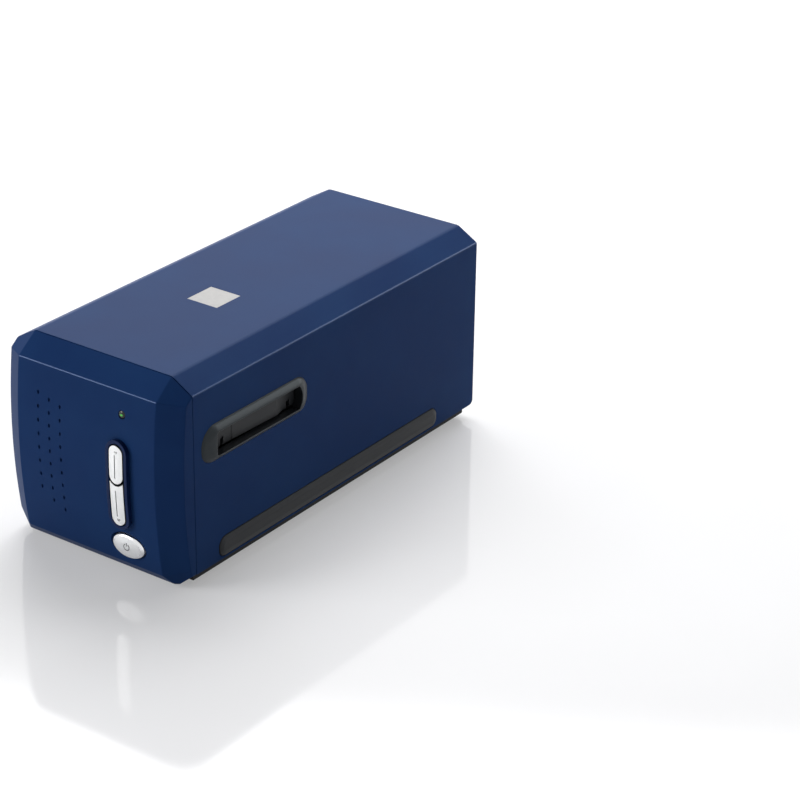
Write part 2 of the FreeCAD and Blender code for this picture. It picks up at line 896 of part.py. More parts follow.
def bezel_cuts():
    window = capsule_xz(button_x, button_half_width + button_gap, lower_button_low - button_gap,
                        upper_button_high + button_gap, front_y - bezel_depth, seam_y)
    power_hole = oval_block(button_gap, front_y - bezel_depth, seam_y)
    ring_floor = face_y(power_z, 0) + power_ring_depth
    power_ring = oval_block(button_gap + power_ring_width, front_y - bezel_depth, ring_floor)
    lamp_hole = cylinder(lamp_radius + lamp_gap, Vec(lamp_x, front_y - overrun, lamp_z),
                         Vec(lamp_x, seam_y, lamp_z))
    cuts = [window, power_hole, power_ring, lamp_hole]
    for across, up, pitch, count in zip(dimple_column_shares, dimple_top_shares, dimple_pitches,
                                        dimple_counts):
        for index in range(count):
            cuts.append(dimple(half_width * across, body_height * up - index * pitch))
    return cuts


def bezel_lip():
    """The thin frame behind the seam that plugs into the housing cover."""
    start = seam_y - seam_gap
    root = section_block(bezel_wall - fit_gap, lip_bottom, start - lip_length, start, 0)
    root = root.common(bezel_block(bezel_wall / 2, start))
    nose = section_block(cover_wall + fit_gap, lip_bottom, start - overrun, seam_y + lip_length, 0)
    hole = section_block(cover_wall + fit_gap + lip_wall, lip_bottom - overrun, start - lip_length - overrun,
                         seam_y + lip_length + overrun, 0)
    return fuse_all([root, nose]).cut(hole)


def front_bezel():
    back = seam_y - seam_gap
    shell = bezel_block(0, back).cut(bezel_block(bezel_wall, back + overrun))
    pieces = [shell, collar(), bezel_lip()]
    for x, z in board_boss_places():
        boss = cylinder(board_boss_radius, Vec(x, front_y, z), Vec(x, board_front, z))
        pieces.append(boss.common(bezel_block(bezel_wall / 2, back)))
    bezel = fuse_all(pieces)
    for x, z in board_boss_places():
        pilot_start = board_front - small_screw_length + board_thick
        bezel = bezel.cut(cylinder(small_screw_radius + thread_gap, Vec(x, pilot_start, z),
                                   Vec(x, board_front + overrun, z)))
    hollow = capsule_xz(button_x, button_half_width + button_gap, collar_low + collar_rim,
                        collar_high - collar_rim,
                        front_y - bezel_depth, seam_y)
    bezel = bezel.cut(hollow)
    for cut in bezel_cuts():
        bezel = bezel.cut(cut)
    return bezel


# Scan buttons, power button and status lamp

def button_front_block(y1):
    return bow_drum(collar_proud + button_dome).common(
        box(button_x - collar_half, button_x + collar_half, front_y - bezel_depth, y1, collar_low,
            collar_high))


def stem(x, z, start):
    return cylinder(stem_radius, Vec(x, start, z), Vec(x, board_front - switch_depth - plunger_reach, z))


def groove(low, high):
    half = button_groove_width / 2
    cut = box(button_x - half, button_x + half, front_y - bezel_depth, seam_y, low, high)
    return cut.cut(bow_drum(collar_proud + button_dome - button_groove_depth))


def finish_button(cap, flange_low, flange_high, groove_low, groove_high, stem_z):
    back = flange_front + button_flange_thick
    cap = cap.common(button_front_block(back))
    rim_y = front_y + overrun
    cap = round_edges(cap, button_edge_round, lambda c: c.y < rim_y)
    cap = cap.cut(groove(groove_low, groove_high))
    half = button_half_width + button_flange
    flange = box(button_x - half, button_x + half, flange_front, back, flange_low, flange_high)
    return fuse_all([cap, flange, stem(button_x, stem_z, back - button_flange_thick / 2)])


def upper_stem_z():
    return (upper_button_low + upper_button_high) / 2


def lower_stem_z():
    return share_between(lower_button_low, upper_button_low, 0.5)


def upper_scan_button():
    cap = capsule_xz(button_x, button_half_width, upper_button_low, upper_button_high, front_y - bezel_depth,
                     seam_y)
    low = upper_button_low + button_half_width
    high = upper_button_high - button_half_width
    return finish_button(cap, low, high, low, upper_button_high - button_groove_margin, upper_stem_z())


def lower_scan_button():
    """Its upper end is hollowed by a circle that keeps an even gap to the upper button's round end."""
    arc_z = upper_button_low + button_half_width
    cap = capsule_xz(button_x, button_half_width, lower_button_low, arc_z + button_half_width,
                     front_y - bezel_depth, seam_y)
    hollow_radius = button_half_width + button_between
    hollow = cylinder(hollow_radius, Vec(button_x, front_y - 2 * bezel_depth, arc_z), Vec(button_x, 0, arc_z))
    above = box(button_x - collar_half, button_x + collar_half, front_y - 2 * bezel_depth, 0, arc_z,
                collar_high)
    cap = cap.cut(hollow).cut(above)
    low = lower_button_low + button_half_width
    high = arc_z - hollow_radius - button_between
    return finish_button(cap, low, high, lower_button_low + button_groove_margin, high, lower_stem_z())


def power_button():
    cap_front = front_y - power_proud
    back = power_flange_front + button_flange_thick
    cap = oval_block(0, cap_front - bezel_depth, back).common(bow_drum(power_proud))
    rim_y = face_y(power_z, 0)
    cap = round_edges(cap, power_edge_round, lambda c: c.y < rim_y)
    flange = oval_block(button_gap + power_flange, power_flange_front, back)
    return fuse_all([cap, flange, stem(power_x, power_z, back - button_flange_thick / 2)])


def status_lamp():
    """A clear light pipe with a domed end, held by a flange behind the bezel's wall."""
    tip = face_y(lamp_z, 0)
    flange_y = face_y(lamp_z + lamp_flange_radius, bezel_wall) + fit_gap
    end = board_front - lamp_body_length - seat_gap
    pipe = cylinder(lamp_radius, Vec(lamp_x, tip, lamp_z), Vec(lamp_x, end, lamp_z))
    dome_radius = (lamp_radius ** 2 + lamp_dome ** 2) / (2 * lamp_dome)
    ball = Part.makeSphere(dome_radius, Vec(lamp_x, tip - lamp_dome + dome_radius, lamp_z))
    cap = ball.common(cylinder(lamp_radius, Vec(lamp_x, tip - overrun, lamp_z),
                               Vec(lamp_x, tip + overrun, lamp_z)))
    flange = cylinder(lamp_flange_radius, Vec(lamp_x, flange_y, lamp_z),
                      Vec(lamp_x, flange_y + lamp_flange_thick, lamp_z))
    return fuse_all([pipe, cap, flange])


# Button board, its switches and plungers

def switch_places():
    return [(button_x, upper_stem_z()), (button_x, lower_stem_z()), (power_x, power_z)]


def button_board():
    board = box(button_board_left, button_board_right, board_front, board_front + board_thick,
                button_board_low,
                button_board_high)
    for x, z in board_boss_places():
        board = board.cut(cylinder(small_screw_radius + fit_gap, Vec(x, board_front - overrun, z),
                                   Vec(x, board_front + board_thick + overrun, z)))
    lamp = cylinder(lamp_body_radius, Vec(lamp_x, board_front - lamp_body_length, lamp_z),
                    Vec(lamp_x, board_front, lamp_z))
    return board.fuse(lamp)


def button_switches():
    bodies = []
    half = switch_size / 2
    for x, z in switch_places():
        body = box(x - half, x + half, board_front - switch_depth, board_front, z - half, z + half)
        well = cylinder(plunger_radius + shaft_gap, Vec(x, board_front - switch_depth - overrun, z),
                        Vec(x, board_front - switch_depth + plunger_sunk + button_travel + fit_gap, z))
        bodies.append(body.cut(well))
    return Part.makeCompound(bodies)


def switch_plunger(x, z):
    front = board_front - switch_depth - plunger_reach
    return cylinder(plunger_radius, Vec(x, front, z), Vec(x, front + plunger_reach + plunger_sunk, z))


# Base tray, feet and screws

def tray_half_width():
    return half_width - cover_wall - tray_side_gap


def tray_rear():
    return panel_front - seat_gap


def foot_places():
    ys = (seam_y + foot_front_margin, rear_y - foot_rear_margin)
    return [(x, y) for y in ys for x in (-foot_x, foot_x)]


def main_post_places():
    xs = (-main_board_half_width + main_post_inset, main_board_half_width - main_post_inset)
    ys = (main_board_front + main_post_inset, main_board_rear() - main_post_inset)
    return [(x, y) for y in ys for x in xs]


def chassis_post_places():
    wide_x = chassis_wide_half - chassis_post_side_margin
    narrow_x = chassis_narrow_half - chassis_post_side_margin
    front = chassis_front + chassis_post_front_margin
    middle = share_between(chassis_front, chassis_rear, chassis_post_middle_share)
    rear = chassis_rear - chassis_post_rear_margin
    return [(side * x, y) for x,
            y in ((wide_x, front), (narrow_x, middle), (narrow_x, rear)) for side in (-1, 1)]


def main_board_rear():
    return rear_y - main_board_rear_margin


def tray_shell():
    half = tray_half_width()
    floor_top = tray_bottom + tray_floor
    front = seam_y + tray_front_margin
    lip = box(-half, half, seam_y + seat_gap, front + tray_round, tray_bottom, floor_top)
    body = plate_xy(corners(-half, half, front, tray_rear()), [tray_round] * 4, tray_bottom, tray_wall_top)
    inner = corners(-half + tray_wall, half - tray_wall, front + tray_wall, tray_rear() - tray_wall)
    hollow = plate_xy(inner, [tray_round - tray_wall] * 4, floor_top, tray_wall_top + overrun)
    rear_cut = box(-half + tray_round, half - tray_round, tray_rear() - tray_wall - overrun,
                   tray_rear() + overrun,
                   tray_rear_wall_top, tray_wall_top + overrun)
    return fuse_all([body, lip]).cut(hollow).cut(rear_cut)


def base_tray():
    """A shallow moulded tray whose posts carry the chassis plate, the main board and the cover."""
    half = tray_half_width()
    floor_top = tray_bottom + tray_floor
    pieces = [tray_shell()]
    low = floor_top - tray_floor / 2
    for share in tray_rib_shares:
        y = share_between(seam_y + tray_front_margin, tray_rear(), share)
        pieces.append(box(-half + tray_wall / 2, half - tray_wall / 2, y, y + tray_rib_width, low,
                          floor_top + tray_rib_height))
    for x, y in cover_boss_places():
        pieces.append(cylinder(cover_post_radius, Vec(x, y, tray_bottom), Vec(x, y, cover_post_top)))
    for x, y in chassis_post_places():
        pieces.append(cylinder(chassis_post_radius, Vec(x, y, low), Vec(x, y, chassis_bottom)))
    for x, y in main_post_places():
        pieces.append(cylinder(main_post_radius, Vec(x, y, low), Vec(x, y, main_board_bottom)))
    tray = fuse_all(pieces)
    for x, y in cover_boss_places():
        well_top = tray_bottom + screw_well
        tray = tray.cut(cylinder(big_screw_head_radius + fit_gap, Vec(x, y, tray_bottom - overrun),
                                 Vec(x, y, well_top)))
        tray = tray.cut(cylinder(big_screw_radius + fit_gap, Vec(x, y, tray_bottom),
                                 Vec(x, y, cover_post_top + overrun)))
    pilot = small_screw_radius + thread_gap
    for places, top in ((chassis_post_places(), chassis_bottom), (main_post_places(), main_board_bottom)):
        for x, y in places:
            tray = tray.cut(cylinder(pilot, Vec(x, y, top - small_screw_length), Vec(x, y, top + overrun)))
    for x, y in foot_places():
        tray = tray.cut(cylinder(foot_radius + foot_gap, Vec(x, y, 0), Vec(x, y, tray_bottom + foot_sunk)))
    return tray


def rubber_feet():
    feet = []
    for x, y in foot_places():
        foot = cylinder(foot_radius, Vec(x, y, 0), Vec(x, y, tray_bottom + foot_sunk))
        feet.append(round_edges(foot, foot_edge_round, lambda c: abs(c.z) < coincident))
    return Part.makeCompound(feet)


def screw(radius, head_radius, head_thick, length, seat, along):
    """A slotted pan-head screw whose head rests on its seat, with the shank pointing along the given way."""
    shank = cylinder(radius, seat - along * (head_thick / 2), seat + along * length)
    head = cylinder(head_radius, seat - along * head_thick, seat)
    solid = fuse_all([shank, head])
    side = ALONG_X if abs(along.x) < 1 else ALONG_Y
    other = along.cross(side)
    slot = Part.makeBox(2 * head_radius + 2 * overrun, screw_slot_width, screw_slot_depth + overrun)
    slot.translate(Vec(-head_radius - overrun, -screw_slot_width / 2, -overrun))
    turn = FreeCAD.Placement(seat - along * head_thick, FreeCAD.Rotation(side, other, along))
    slot.Placement = turn.multiply(slot.Placement)
    return solid.cut(slot)


def small_screws(seats, along):
    screws = []
    for seat in seats:
        screws.append(screw(small_screw_radius, small_screw_head_radius, small_screw_head_thick,
                            small_screw_length,
                            seat, along))
    return Part.makeCompound(screws)


def cover_screws():
    screws = []
    for x, y in cover_boss_places():
        seat = Vec(x, y, tray_bottom + screw_well)
        screws.append(screw(big_screw_radius, big_screw_head_radius, big_screw_head_thick, big_screw_length,
                            seat,
                            ALONG_Z))
    return Part.makeCompound(screws)


def chassis_screws():
    top = chassis_top
    return small_screws([Vec(x, y, top) for x, y in chassis_post_places()], ALONG_Z * -1)


def main_board_screws():
    top = main_board_bottom + board_thick
    return small_screws([Vec(x, y, top) for x, y in main_post_places()], ALONG_Z * -1)


def button_board_screws():
    back = board_front + board_thick
    return small_screws([Vec(x, back, z) for x, z in board_boss_places()], ALONG_Y * -1)


# Rear panel, main board and sockets

board_top = main_board_bottom + board_thick
socket_rear = rear_y - panel_inset


def rear_panel():
    panel = section_block(cover_wall + fit_gap, cover_bottom, panel_front, panel_front + panel_wall, 0)
    usb_half = usb_width / 2 + fit_gap
    panel = panel.cut(box(usb_x - usb_half, usb_x + usb_half, panel_front - overrun, rear_y,
                          board_top - fit_gap,
                          board_top + usb_height + fit_gap))
    jack_z = board_top + jack_height / 2
    return panel.cut(cylinder(jack_nose_radius + fit_gap, Vec(jack_x, panel_front - overrun, jack_z),
                              Vec(jack_x, rear_y, jack_z)))


def usb_socket():
    """A square device socket whose mouth has two bevelled upper corners and a tongue in the middle."""
    low = board_top
    half = usb_width / 2
    body = box(usb_x - half, usb_x + half, socket_rear - usb_length, socket_rear, low, low + usb_height)
    mouth_low = low + (usb_height - usb_mouth_height) / 2
    mouth_high = mouth_low + usb_mouth_height
    mouth_half = usb_mouth_width / 2
    bevel = usb_mouth_bevel
    outline = [(usb_x - mouth_half, mouth_low), (usb_x + mouth_half, mouth_low),
               (usb_x + mouth_half, mouth_high - bevel), (usb_x + mouth_half - bevel, mouth_high),
               (usb_x - mouth_half + bevel, mouth_high), (usb_x - mouth_half, mouth_high - bevel)]
    mouth_floor = socket_rear - usb_mouth_depth
    mouth = plate_xz(outline, [0] * len(outline), mouth_floor, socket_rear + overrun)
    tongue_low = (mouth_low + mouth_high - usb_tongue_height) / 2
    tongue = box(usb_x - usb_tongue_width / 2, usb_x + usb_tongue_width / 2, mouth_floor - overrun,
                 socket_rear - overrun, tongue_low, tongue_low + usb_tongue_height)
    return fuse_all([body.cut(mouth), tongue])


def power_jack():
    z = board_top + jack_height / 2
    half = jack_width / 2
    body_rear = panel_front
    body = box(jack_x - half, jack_x + half, body_rear - jack_length, body_rear, board_top,
               board_top + jack_height)
    nose = cylinder(jack_nose_radius, Vec(jack_x, body_rear - overrun, z),
                    Vec(jack_x, body_rear + jack_nose_length, z))
    mouth_rear = body_rear + jack_nose_length
    solid = fuse_all([body, nose])
    solid = solid.cut(cylinder(jack_bore_radius, Vec(jack_x, mouth_rear - jack_bore_depth, z),
                               Vec(jack_x, mouth_rear + overrun, z)))
    pin = cylinder(jack_pin_radius, Vec(jack_x, mouth_rear - jack_bore_depth - overrun, z),
                   Vec(jack_x, mouth_rear - overrun, z))
    return fuse_all([solid, pin])


def main_board():
    board = box(-main_board_half_width, main_board_half_width, main_board_front, main_board_rear(),
                main_board_bottom, board_top)
    for x, y in main_post_places():
        board = board.cut(cylinder(small_screw_radius + fit_gap, Vec(x, y, main_board_bottom - overrun),
                                   Vec(x, y, board_top + overrun)))
    return board


def board_place(shares):
    x = share_between(-main_board_half_width, main_board_half_width, shares[0])
    y = share_between(main_board_front, main_board_rear(), shares[1])
    return x, y


def board_parts():
    """Chips and capacitors on the main board, one solid each."""
    solids = []
    for (size_x, size_y), shares in zip(chip_sizes, chip_place_shares):
        x, y = board_place(shares)
        solids.append(box(x - size_x / 2, x + size_x / 2, y - size_y / 2, y + size_y / 2, board_top,
                          board_top + chip_height))
    for shares in capacitor_place_shares:
        x, y = board_place(shares)
        solids.append(cylinder(capacitor_radius, Vec(x, y, board_top),
                               Vec(x, y, board_top + capacitor_height)))
    return Part.makeCompound(solids)


# Chassis plate and guide rods

def rod_front_y():
    return chassis_front - rod_overhang


def chassis_plate():
    """A folded steel plate: a stepped base with four upright tabs that hold the two guide rods."""
    wide = chassis_wide_half
    narrow = chassis_narrow_half
    outline = [(-wide, chassis_front), (wide, chassis_front), (wide, chassis_step), (narrow, chassis_step),
               (narrow, chassis_rear), (-narrow, chassis_rear), (-narrow, chassis_step), (-wide,
                                                                                          chassis_step)]
    top = chassis_top
    base = plate_xy(outline, [chassis_corner_round] * 8, chassis_bottom, top)
    pieces = [base]
    for x in (-rod_x, rod_x):
        for y in (chassis_front, rod_rear_y - sheet):
            pieces.append(box(x - bracket_half_width, x + bracket_half_width, y, y + sheet, chassis_bottom,
                              bracket_top))
    pieces.append(box(-spring_lug_half, spring_lug_half, spring_stop_y(), spring_stop_y() + sheet,
                      chassis_bottom,
                      top + spring_lug_height))
    plate = fuse_all(pieces)
    for x in (-rod_x, rod_x):
        plate = plate.cut(cylinder(rod_radius + shaft_gap, Vec(x, rod_front_y() - overrun, rod_z),
                                   Vec(x, rod_rear_y + overrun, rod_z)))
    for x, y in chassis_post_places():
        plate = plate.cut(cylinder(small_screw_radius + fit_gap, Vec(x, y, chassis_bottom - overrun),
                                   Vec(x, y, top + overrun)))
    shaft_x, shaft_y = motor_place()
    plate = plate.cut(cylinder(motor_shaft_radius + seat_gap, Vec(shaft_x, shaft_y, chassis_bottom - overrun),
                               Vec(shaft_x, shaft_y, top + overrun)))
    return plate


def guide_rod(x):
    return cylinder(rod_radius, Vec(x, rod_front_y(), rod_z), Vec(x, rod_rear_y + rod_overhang, rod_z))


# Scan carriage and its optics

def carriage_y(share):
    return carriage_front + carriage_length * share


def ear_blocks():
    """Two ears on the left rod and one fork on the right rod."""
    solids = []
    inner = carriage_half_width - carriage_wall
    low = carriage_floor_z
    for share in ear_front_shares:
        y = carriage_y(share)
        ear = cylinder(carriage_ear_radius, Vec(-rod_x, y, rod_z),
                       Vec(-rod_x, y + carriage_ear_length, rod_z))
        arm = box(-rod_x, -inner, y, y + carriage_ear_length, low, rod_z + bush_radius)
        bore = cylinder(bush_radius, Vec(-rod_x, y - overrun, rod_z),
                        Vec(-rod_x, y + carriage_ear_length + overrun, rod_z))
        solids.append(fuse_all([ear, arm]).cut(bore))
    y = carriage_y(shoe_share)
    reach = rod_x + carriage_ear_radius
    fork = box(inner, reach, y, y + shoe_length, low, rod_z + carriage_ear_radius)
    slot = box(rod_x - rod_radius - shaft_gap, reach + overrun, y - overrun, y + shoe_length + overrun,
               rod_z - rod_radius - shaft_gap, rod_z + rod_radius + shaft_gap)
    solids.append(fork.cut(slot))
    return solids


def carriage_bushes():
    bushes = []
    for share in ear_front_shares:
        y = carriage_y(share)
        bushes.append(tube(bush_radius, rod_radius + shaft_gap, Vec(-rod_x, y, rod_z),
                           Vec(-rod_x, y + carriage_ear_length, rod_z)))
    return Part.makeCompound(bushes)


def belt_clamp():
    """A slotted block under the carriage that the belt's right run passes through."""
    y = carriage_y(clamp_share)
    belt_x = pulley_radius + shaft_gap + belt_thick / 2
    slot_half = belt_thick / 2 + belt_side_gap
    wall_half = slot_half + clamp_wall
    block = box(belt_x - wall_half, belt_x + wall_half, y, y + clamp_length, belt_low(),
                carriage_floor_z + carriage_floor / 2)
    slot = box(belt_x - slot_half, belt_x + slot_half, y - overrun, y + clamp_length + overrun,
               belt_low() - overrun,
               belt_low() + belt_width + seat_gap)
    return block.cut(slot)


def sensor_flag():
    y = carriage_front
    x = -carriage_half_width + flag_width
    return box(x, x + flag_width, y, y + flag_length, carriage_floor_z - flag_drop,
               carriage_floor_z + carriage_floor / 2)


def lens_cradle():
    """A saddle across the carriage floor whose round seat carries the lens barrel."""
    y = carriage_y(lens_share) - lens_cradle_thick / 2
    inner = carriage_half_width - carriage_wall / 2
    saddle = box(-inner, inner, y, y + lens_cradle_thick, carriage_floor_z, lens_z)
    seat = cylinder(lens_radius + shaft_gap, Vec(0, y - overrun, lens_z),
                    Vec(0, y + lens_cradle_thick + overrun, lens_z))
    return saddle.cut(seat)


def mirror_middle():
    return Vec(0, carriage_y(mirror_share), lens_z)


def mirror_block(thick, lift, half_width_x, side):
    """A plate at 45 degrees, facing up and to the rear, whose front face passes the optical axis."""
    plate = Part.makeBox(2 * half_width_x, side, thick)
    plate.translate(Vec(-half_width_x, -side / 2, -thick - lift))
    plate.rotate(Vec(0, 0, 0), ALONG_X, -45)
    plate.translate(mirror_middle())
    return plate


def scan_carriage():
    half = carriage_half_width
    rear = carriage_front + carriage_length
    low = carriage_floor_z
    body = box(-half, half, carriage_front, rear, low, carriage_top)
    hollow = box(-half + carriage_wall, half - carriage_wall, carriage_front + carriage_wall, rear + overrun,
                 low + carriage_floor, carriage_top + overrun)
    rest = mirror_block(mirror_rest_thick, mirror_thick, half - carriage_wall / 2, mirror_side)
    rest = rest.common(box(-half, half, carriage_front, rear, low, carriage_top))
    pieces = [body.cut(hollow), rest, lens_cradle(), belt_clamp(), sensor_flag()] + ear_blocks()
    return fuse_all(pieces)


def fold_mirror():
    side = mirror_side - 2 * fit_gap
    plate = mirror_block(mirror_thick, 0, mirror_width / 2, side)
    return plate.common(box(-half_width, half_width, -rear_y, rear_y,
                            carriage_floor_z + carriage_floor + fit_gap,
                            carriage_top))


def lens_barrel():
    """A turned barrel with a stepped front rim and a shallow glass seat."""
    y0 = carriage_y(lens_share) - lens_length / 2
    y1 = y0 + lens_length
    body = cylinder(lens_radius, Vec(0, y0, lens_z), Vec(0, y1, lens_z))
    nose_radius = lens_radius - lens_rim
    step = tube(lens_radius + overrun, nose_radius, Vec(0, y0 - overrun, lens_z),
                Vec(0, y0 + lens_rim * 3, lens_z))
    eye = cylinder(lens_glass_radius, Vec(0, y0 - overrun, lens_z), Vec(0, y0 + lens_rim, lens_z))
    return body.cut(step).cut(eye)


def lens_glass():
    y0 = carriage_y(lens_share) - lens_length / 2
    return cylinder(lens_glass_radius - shaft_gap, Vec(0, y0 + lens_rim / 2, lens_z),
                    Vec(0, y0 + lens_rim, lens_z))


def sensor_board():
    rear = carriage_front + carriage_length
    low = lens_z - sensor_board_height / 2
    board = box(-sensor_board_width / 2, sensor_board_width / 2, rear, rear + board_thick, low,
                low + sensor_board_height)
    chip = box(-sensor_chip_width / 2, sensor_chip_width / 2, rear - sensor_chip_depth, rear,
               lens_z - sensor_chip_height / 2, lens_z + sensor_chip_height / 2)
    return board.fuse(chip)


# Film guides and lamp box

film_roof_half = hinge_x - (hinge_z - door_low) - door_swing_room
lamp_box_half_x = film_roof_half - lamp_box_side_room
guide_front = slot_front - film_wall_gap
guide_rear = slot_rear + film_wall_gap


def film_window(half_x, half_y, z0, z1):
    return box(-half_x, half_x, slot_centre_y - half_y, slot_centre_y + half_y, z0, z1)


def lower_film_guide():
    """The tunnel's floor on four legs, with the scan window in its middle."""
    floor_low = slot_bottom - film_floor_thick
    floor = box(-film_floor_half, film_floor_half, guide_front - film_wall, guide_rear + film_wall, floor_low,
                slot_bottom)
    pieces = [floor]
    for x in (-film_leg_x, film_leg_x):
        for y in (guide_front - film_wall, guide_rear + film_wall - film_leg):
            pieces.append(box(x - film_leg / 2, x + film_leg / 2, y, y + film_leg, chassis_top,
                              floor_low + film_floor_thick / 2))
    guide = fuse_all(pieces)
    return guide.cut(film_window(film_window_x / 2, film_window_y / 2, floor_low - overrun,
                                 slot_bottom + overrun))


def upper_film_guide():
    """The tunnel's roof and side walls, with a stepped window that holds the diffuser."""
    roof_low = slot_top
    roof = box(-film_roof_half, film_roof_half, guide_front - film_wall, guide_rear + film_wall, roof_low,
               roof_low + film_roof_thick)
    front_wall = box(-film_roof_half, film_roof_half, guide_front - film_wall, guide_front, slot_bottom,
                     roof_low + film_roof_thick / 2)
    rear_wall = box(-film_roof_half, film_roof_half, guide_rear, guide_rear + film_wall, slot_bottom,
                    roof_low + film_roof_thick / 2)
    guide = fuse_all([roof, front_wall, rear_wall])
    roof_top = roof_low + film_roof_thick
    guide = guide.cut(film_window(film_window_x / 2, film_window_y / 2, roof_low - overrun,
                                  roof_top + overrun))
    wide_x = film_window_x / 2 + diffuser_margin + fit_gap
    wide_y = film_window_y / 2 + diffuser_margin + fit_gap
    return guide.cut(film_window(wide_x, wide_y, roof_top - diffuser_thick, roof_top + overrun))


def lamp_diffuser():
    top = slot_top + film_roof_thick
    return film_window(film_window_x / 2 + diffuser_margin, film_window_y / 2 + diffuser_margin,
                       top - diffuser_thick, top)


def lamp_box():
    low = slot_top + film_roof_thick
    outer = film_window(lamp_box_half_x, lamp_box_half_y, low, low + lamp_box_height)
    inner = film_window(lamp_box_half_x - lamp_box_wall, lamp_box_half_y - lamp_box_wall, low - overrun,
                        low + lamp_box_height + overrun)
    return outer.cut(inner)


def lamp_board():
    """The board that closes the lamp box from above, with rows of light emitting chips under it."""
    low = slot_top + film_roof_thick + lamp_box_height
    board = film_window(lamp_box_half_x, lamp_box_half_y, low, low + board_thick)
    pieces = [board]
    half = lamp_chip / 2
    for row in range(lamp_chip_rows):
        for column in range(lamp_chip_columns):
            x = (column - (lamp_chip_columns - 1) / 2) * lamp_chip_pitch
            y = slot_centre_y + (row - (lamp_chip_rows - 1) / 2) * lamp_chip_pitch
            pieces.append(box(x - half, x + half, y - half, y + half, low - lamp_chip_height, low))
    return fuse_all(pieces)


# Drive

def belt_low():
    return gear_high + pulley_flange + belt_side_gap / 2


def motor_place():
    distance = gear_module * (drive_teeth + pinion_teeth) / 2 + gear_centre_gap
    angle = math.radians(motor_angle)
    return drive_x + distance * math.cos(angle), drive_y + distance * math.sin(angle)


def involute(base, angle):
    return Vec(base * (math.cos(angle) + angle * math.sin(angle)),
               base * (math.sin(angle) - angle * math.cos(angle)), 0)


def gear_wire(teeth, turn):
    """A gear outline with involute flanks, thinned by half the backlash on each gear."""
    pitch = gear_module * teeth / 2
    base = pitch * math.cos(math.radians(pressure_angle))
    tip = pitch + gear_module
    root = pitch - gear_module - gear_root_gap
    tip_angle = math.sqrt((tip / base) ** 2 - 1)
    pitch_angle = math.sqrt((pitch / base) ** 2 - 1)
    pitch_polar = pitch_angle - math.atan(pitch_angle)
    half_tooth = math.pi / (2 * teeth) - gear_backlash / (4 * pitch)
    start = max(base, root)
    start_angle = math.sqrt((start / base) ** 2 - 1)
    flank = [involute(base, share_between(start_angle, tip_angle, step / 3)) for step in range(4)]
    points = []
    for index in range(teeth):
        middle = turn + 2 * math.pi * index / teeth
        leans = [math.atan2(p.y, p.x) - pitch_polar - half_tooth for p in flank]
        rising = [polar(p.Length, middle + lean) for p, lean in zip(flank, leans)]
        falling = [polar(p.Length, middle - lean) for p, lean in zip(flank, leans)]
        tooth = [polar(root, middle + leans[0])] + rising + falling[::-1] + [polar(root, middle - leans[0])]
        for point in tooth:
            if not points or (point - points[-1]).Length > coincident:
                points.append(point)
    return Part.makePolygon(points + points[:1])


def polar(radius, angle):
    return Vec(radius * math.cos(angle), radius * math.sin(angle), 0)


def gear_block(teeth, turn, x, y, z0, z1):
    wire = gear_wire(teeth, turn)
    wire.translate(Vec(x, y, z0))
    return prism(wire, ALONG_Z * (z1 - z0))


def pulley_blocks(x, y, low):
    """A belt pulley with a flange below and above the belt."""
    belt_base = low + pulley_flange
    belt_top = belt_base + belt_width + belt_side_gap
    return [cylinder(pulley_flange_radius, Vec(x, y, low), Vec(x, y, belt_base)),
            cylinder(pulley_radius, Vec(x, y, belt_base), Vec(x, y, belt_top)),
            cylinder(pulley_flange_radius, Vec(x, y, belt_top), Vec(x, y, belt_top + pulley_flange))]


def bored(solid, x, y):
    hole = stud_radius + shaft_gap
    return solid.cut(cylinder(hole, Vec(x, y, chassis_bottom), Vec(x, y, body_height)))


def drive_gear():
    wheel = gear_block(drive_teeth, math.radians(motor_angle), drive_x, drive_y, gear_low, gear_high)
    return bored(fuse_all([wheel] + pulley_blocks(drive_x, drive_y, gear_high)), drive_x, drive_y)


def stud(x, y, base, top):
    """A headless post with a wide foot that keeps the wheel off the plate."""
    post = cylinder(stud_radius, Vec(x, y, base), Vec(x, y, top))
    foot = cylinder(stud_radius * 2, Vec(x, y, base), Vec(x, y, base + gear_lift - shaft_gap))
    return fuse_all([post, foot])


def drive_stud():
    return stud(drive_x, drive_y, chassis_top, wheel_top)


def motor_pinion():
    x, y = motor_place()
    half_pitch = math.pi / pinion_teeth
    turn = math.radians(motor_angle) + math.pi + half_pitch
    wheel = gear_block(pinion_teeth, turn, x, y, gear_low, gear_high)
    shaft = cylinder(motor_shaft_radius, Vec(x, y, chassis_bottom - motor_length / 2), Vec(x, y, gear_high))
    return fuse_all([wheel, shaft])


def stepper_motor():
    """A round can under the plate, with a two-eared mounting flange and a well for its turning shaft."""
    x, y = motor_place()
    top = chassis_bottom
    can = cylinder(motor_radius, Vec(x, y, top - motor_length), Vec(x, y, top))
    pieces = [can]
    for side in (-1, 1):
        ear_x = x + side * motor_ear_span
        pieces.append(cylinder(motor_ear_radius, Vec(ear_x, y, top - motor_flange_thick), Vec(ear_x, y, top)))
        pieces.append(box(min(x, ear_x), max(x, ear_x), y - motor_ear_radius, y + motor_ear_radius,
                          top - motor_flange_thick, top))
    motor = fuse_all(pieces)
    well = cylinder(motor_shaft_radius + shaft_gap, Vec(x, y, top - motor_length / 2 - fit_gap),
                    Vec(x, y, top + overrun))
    return motor.cut(well)


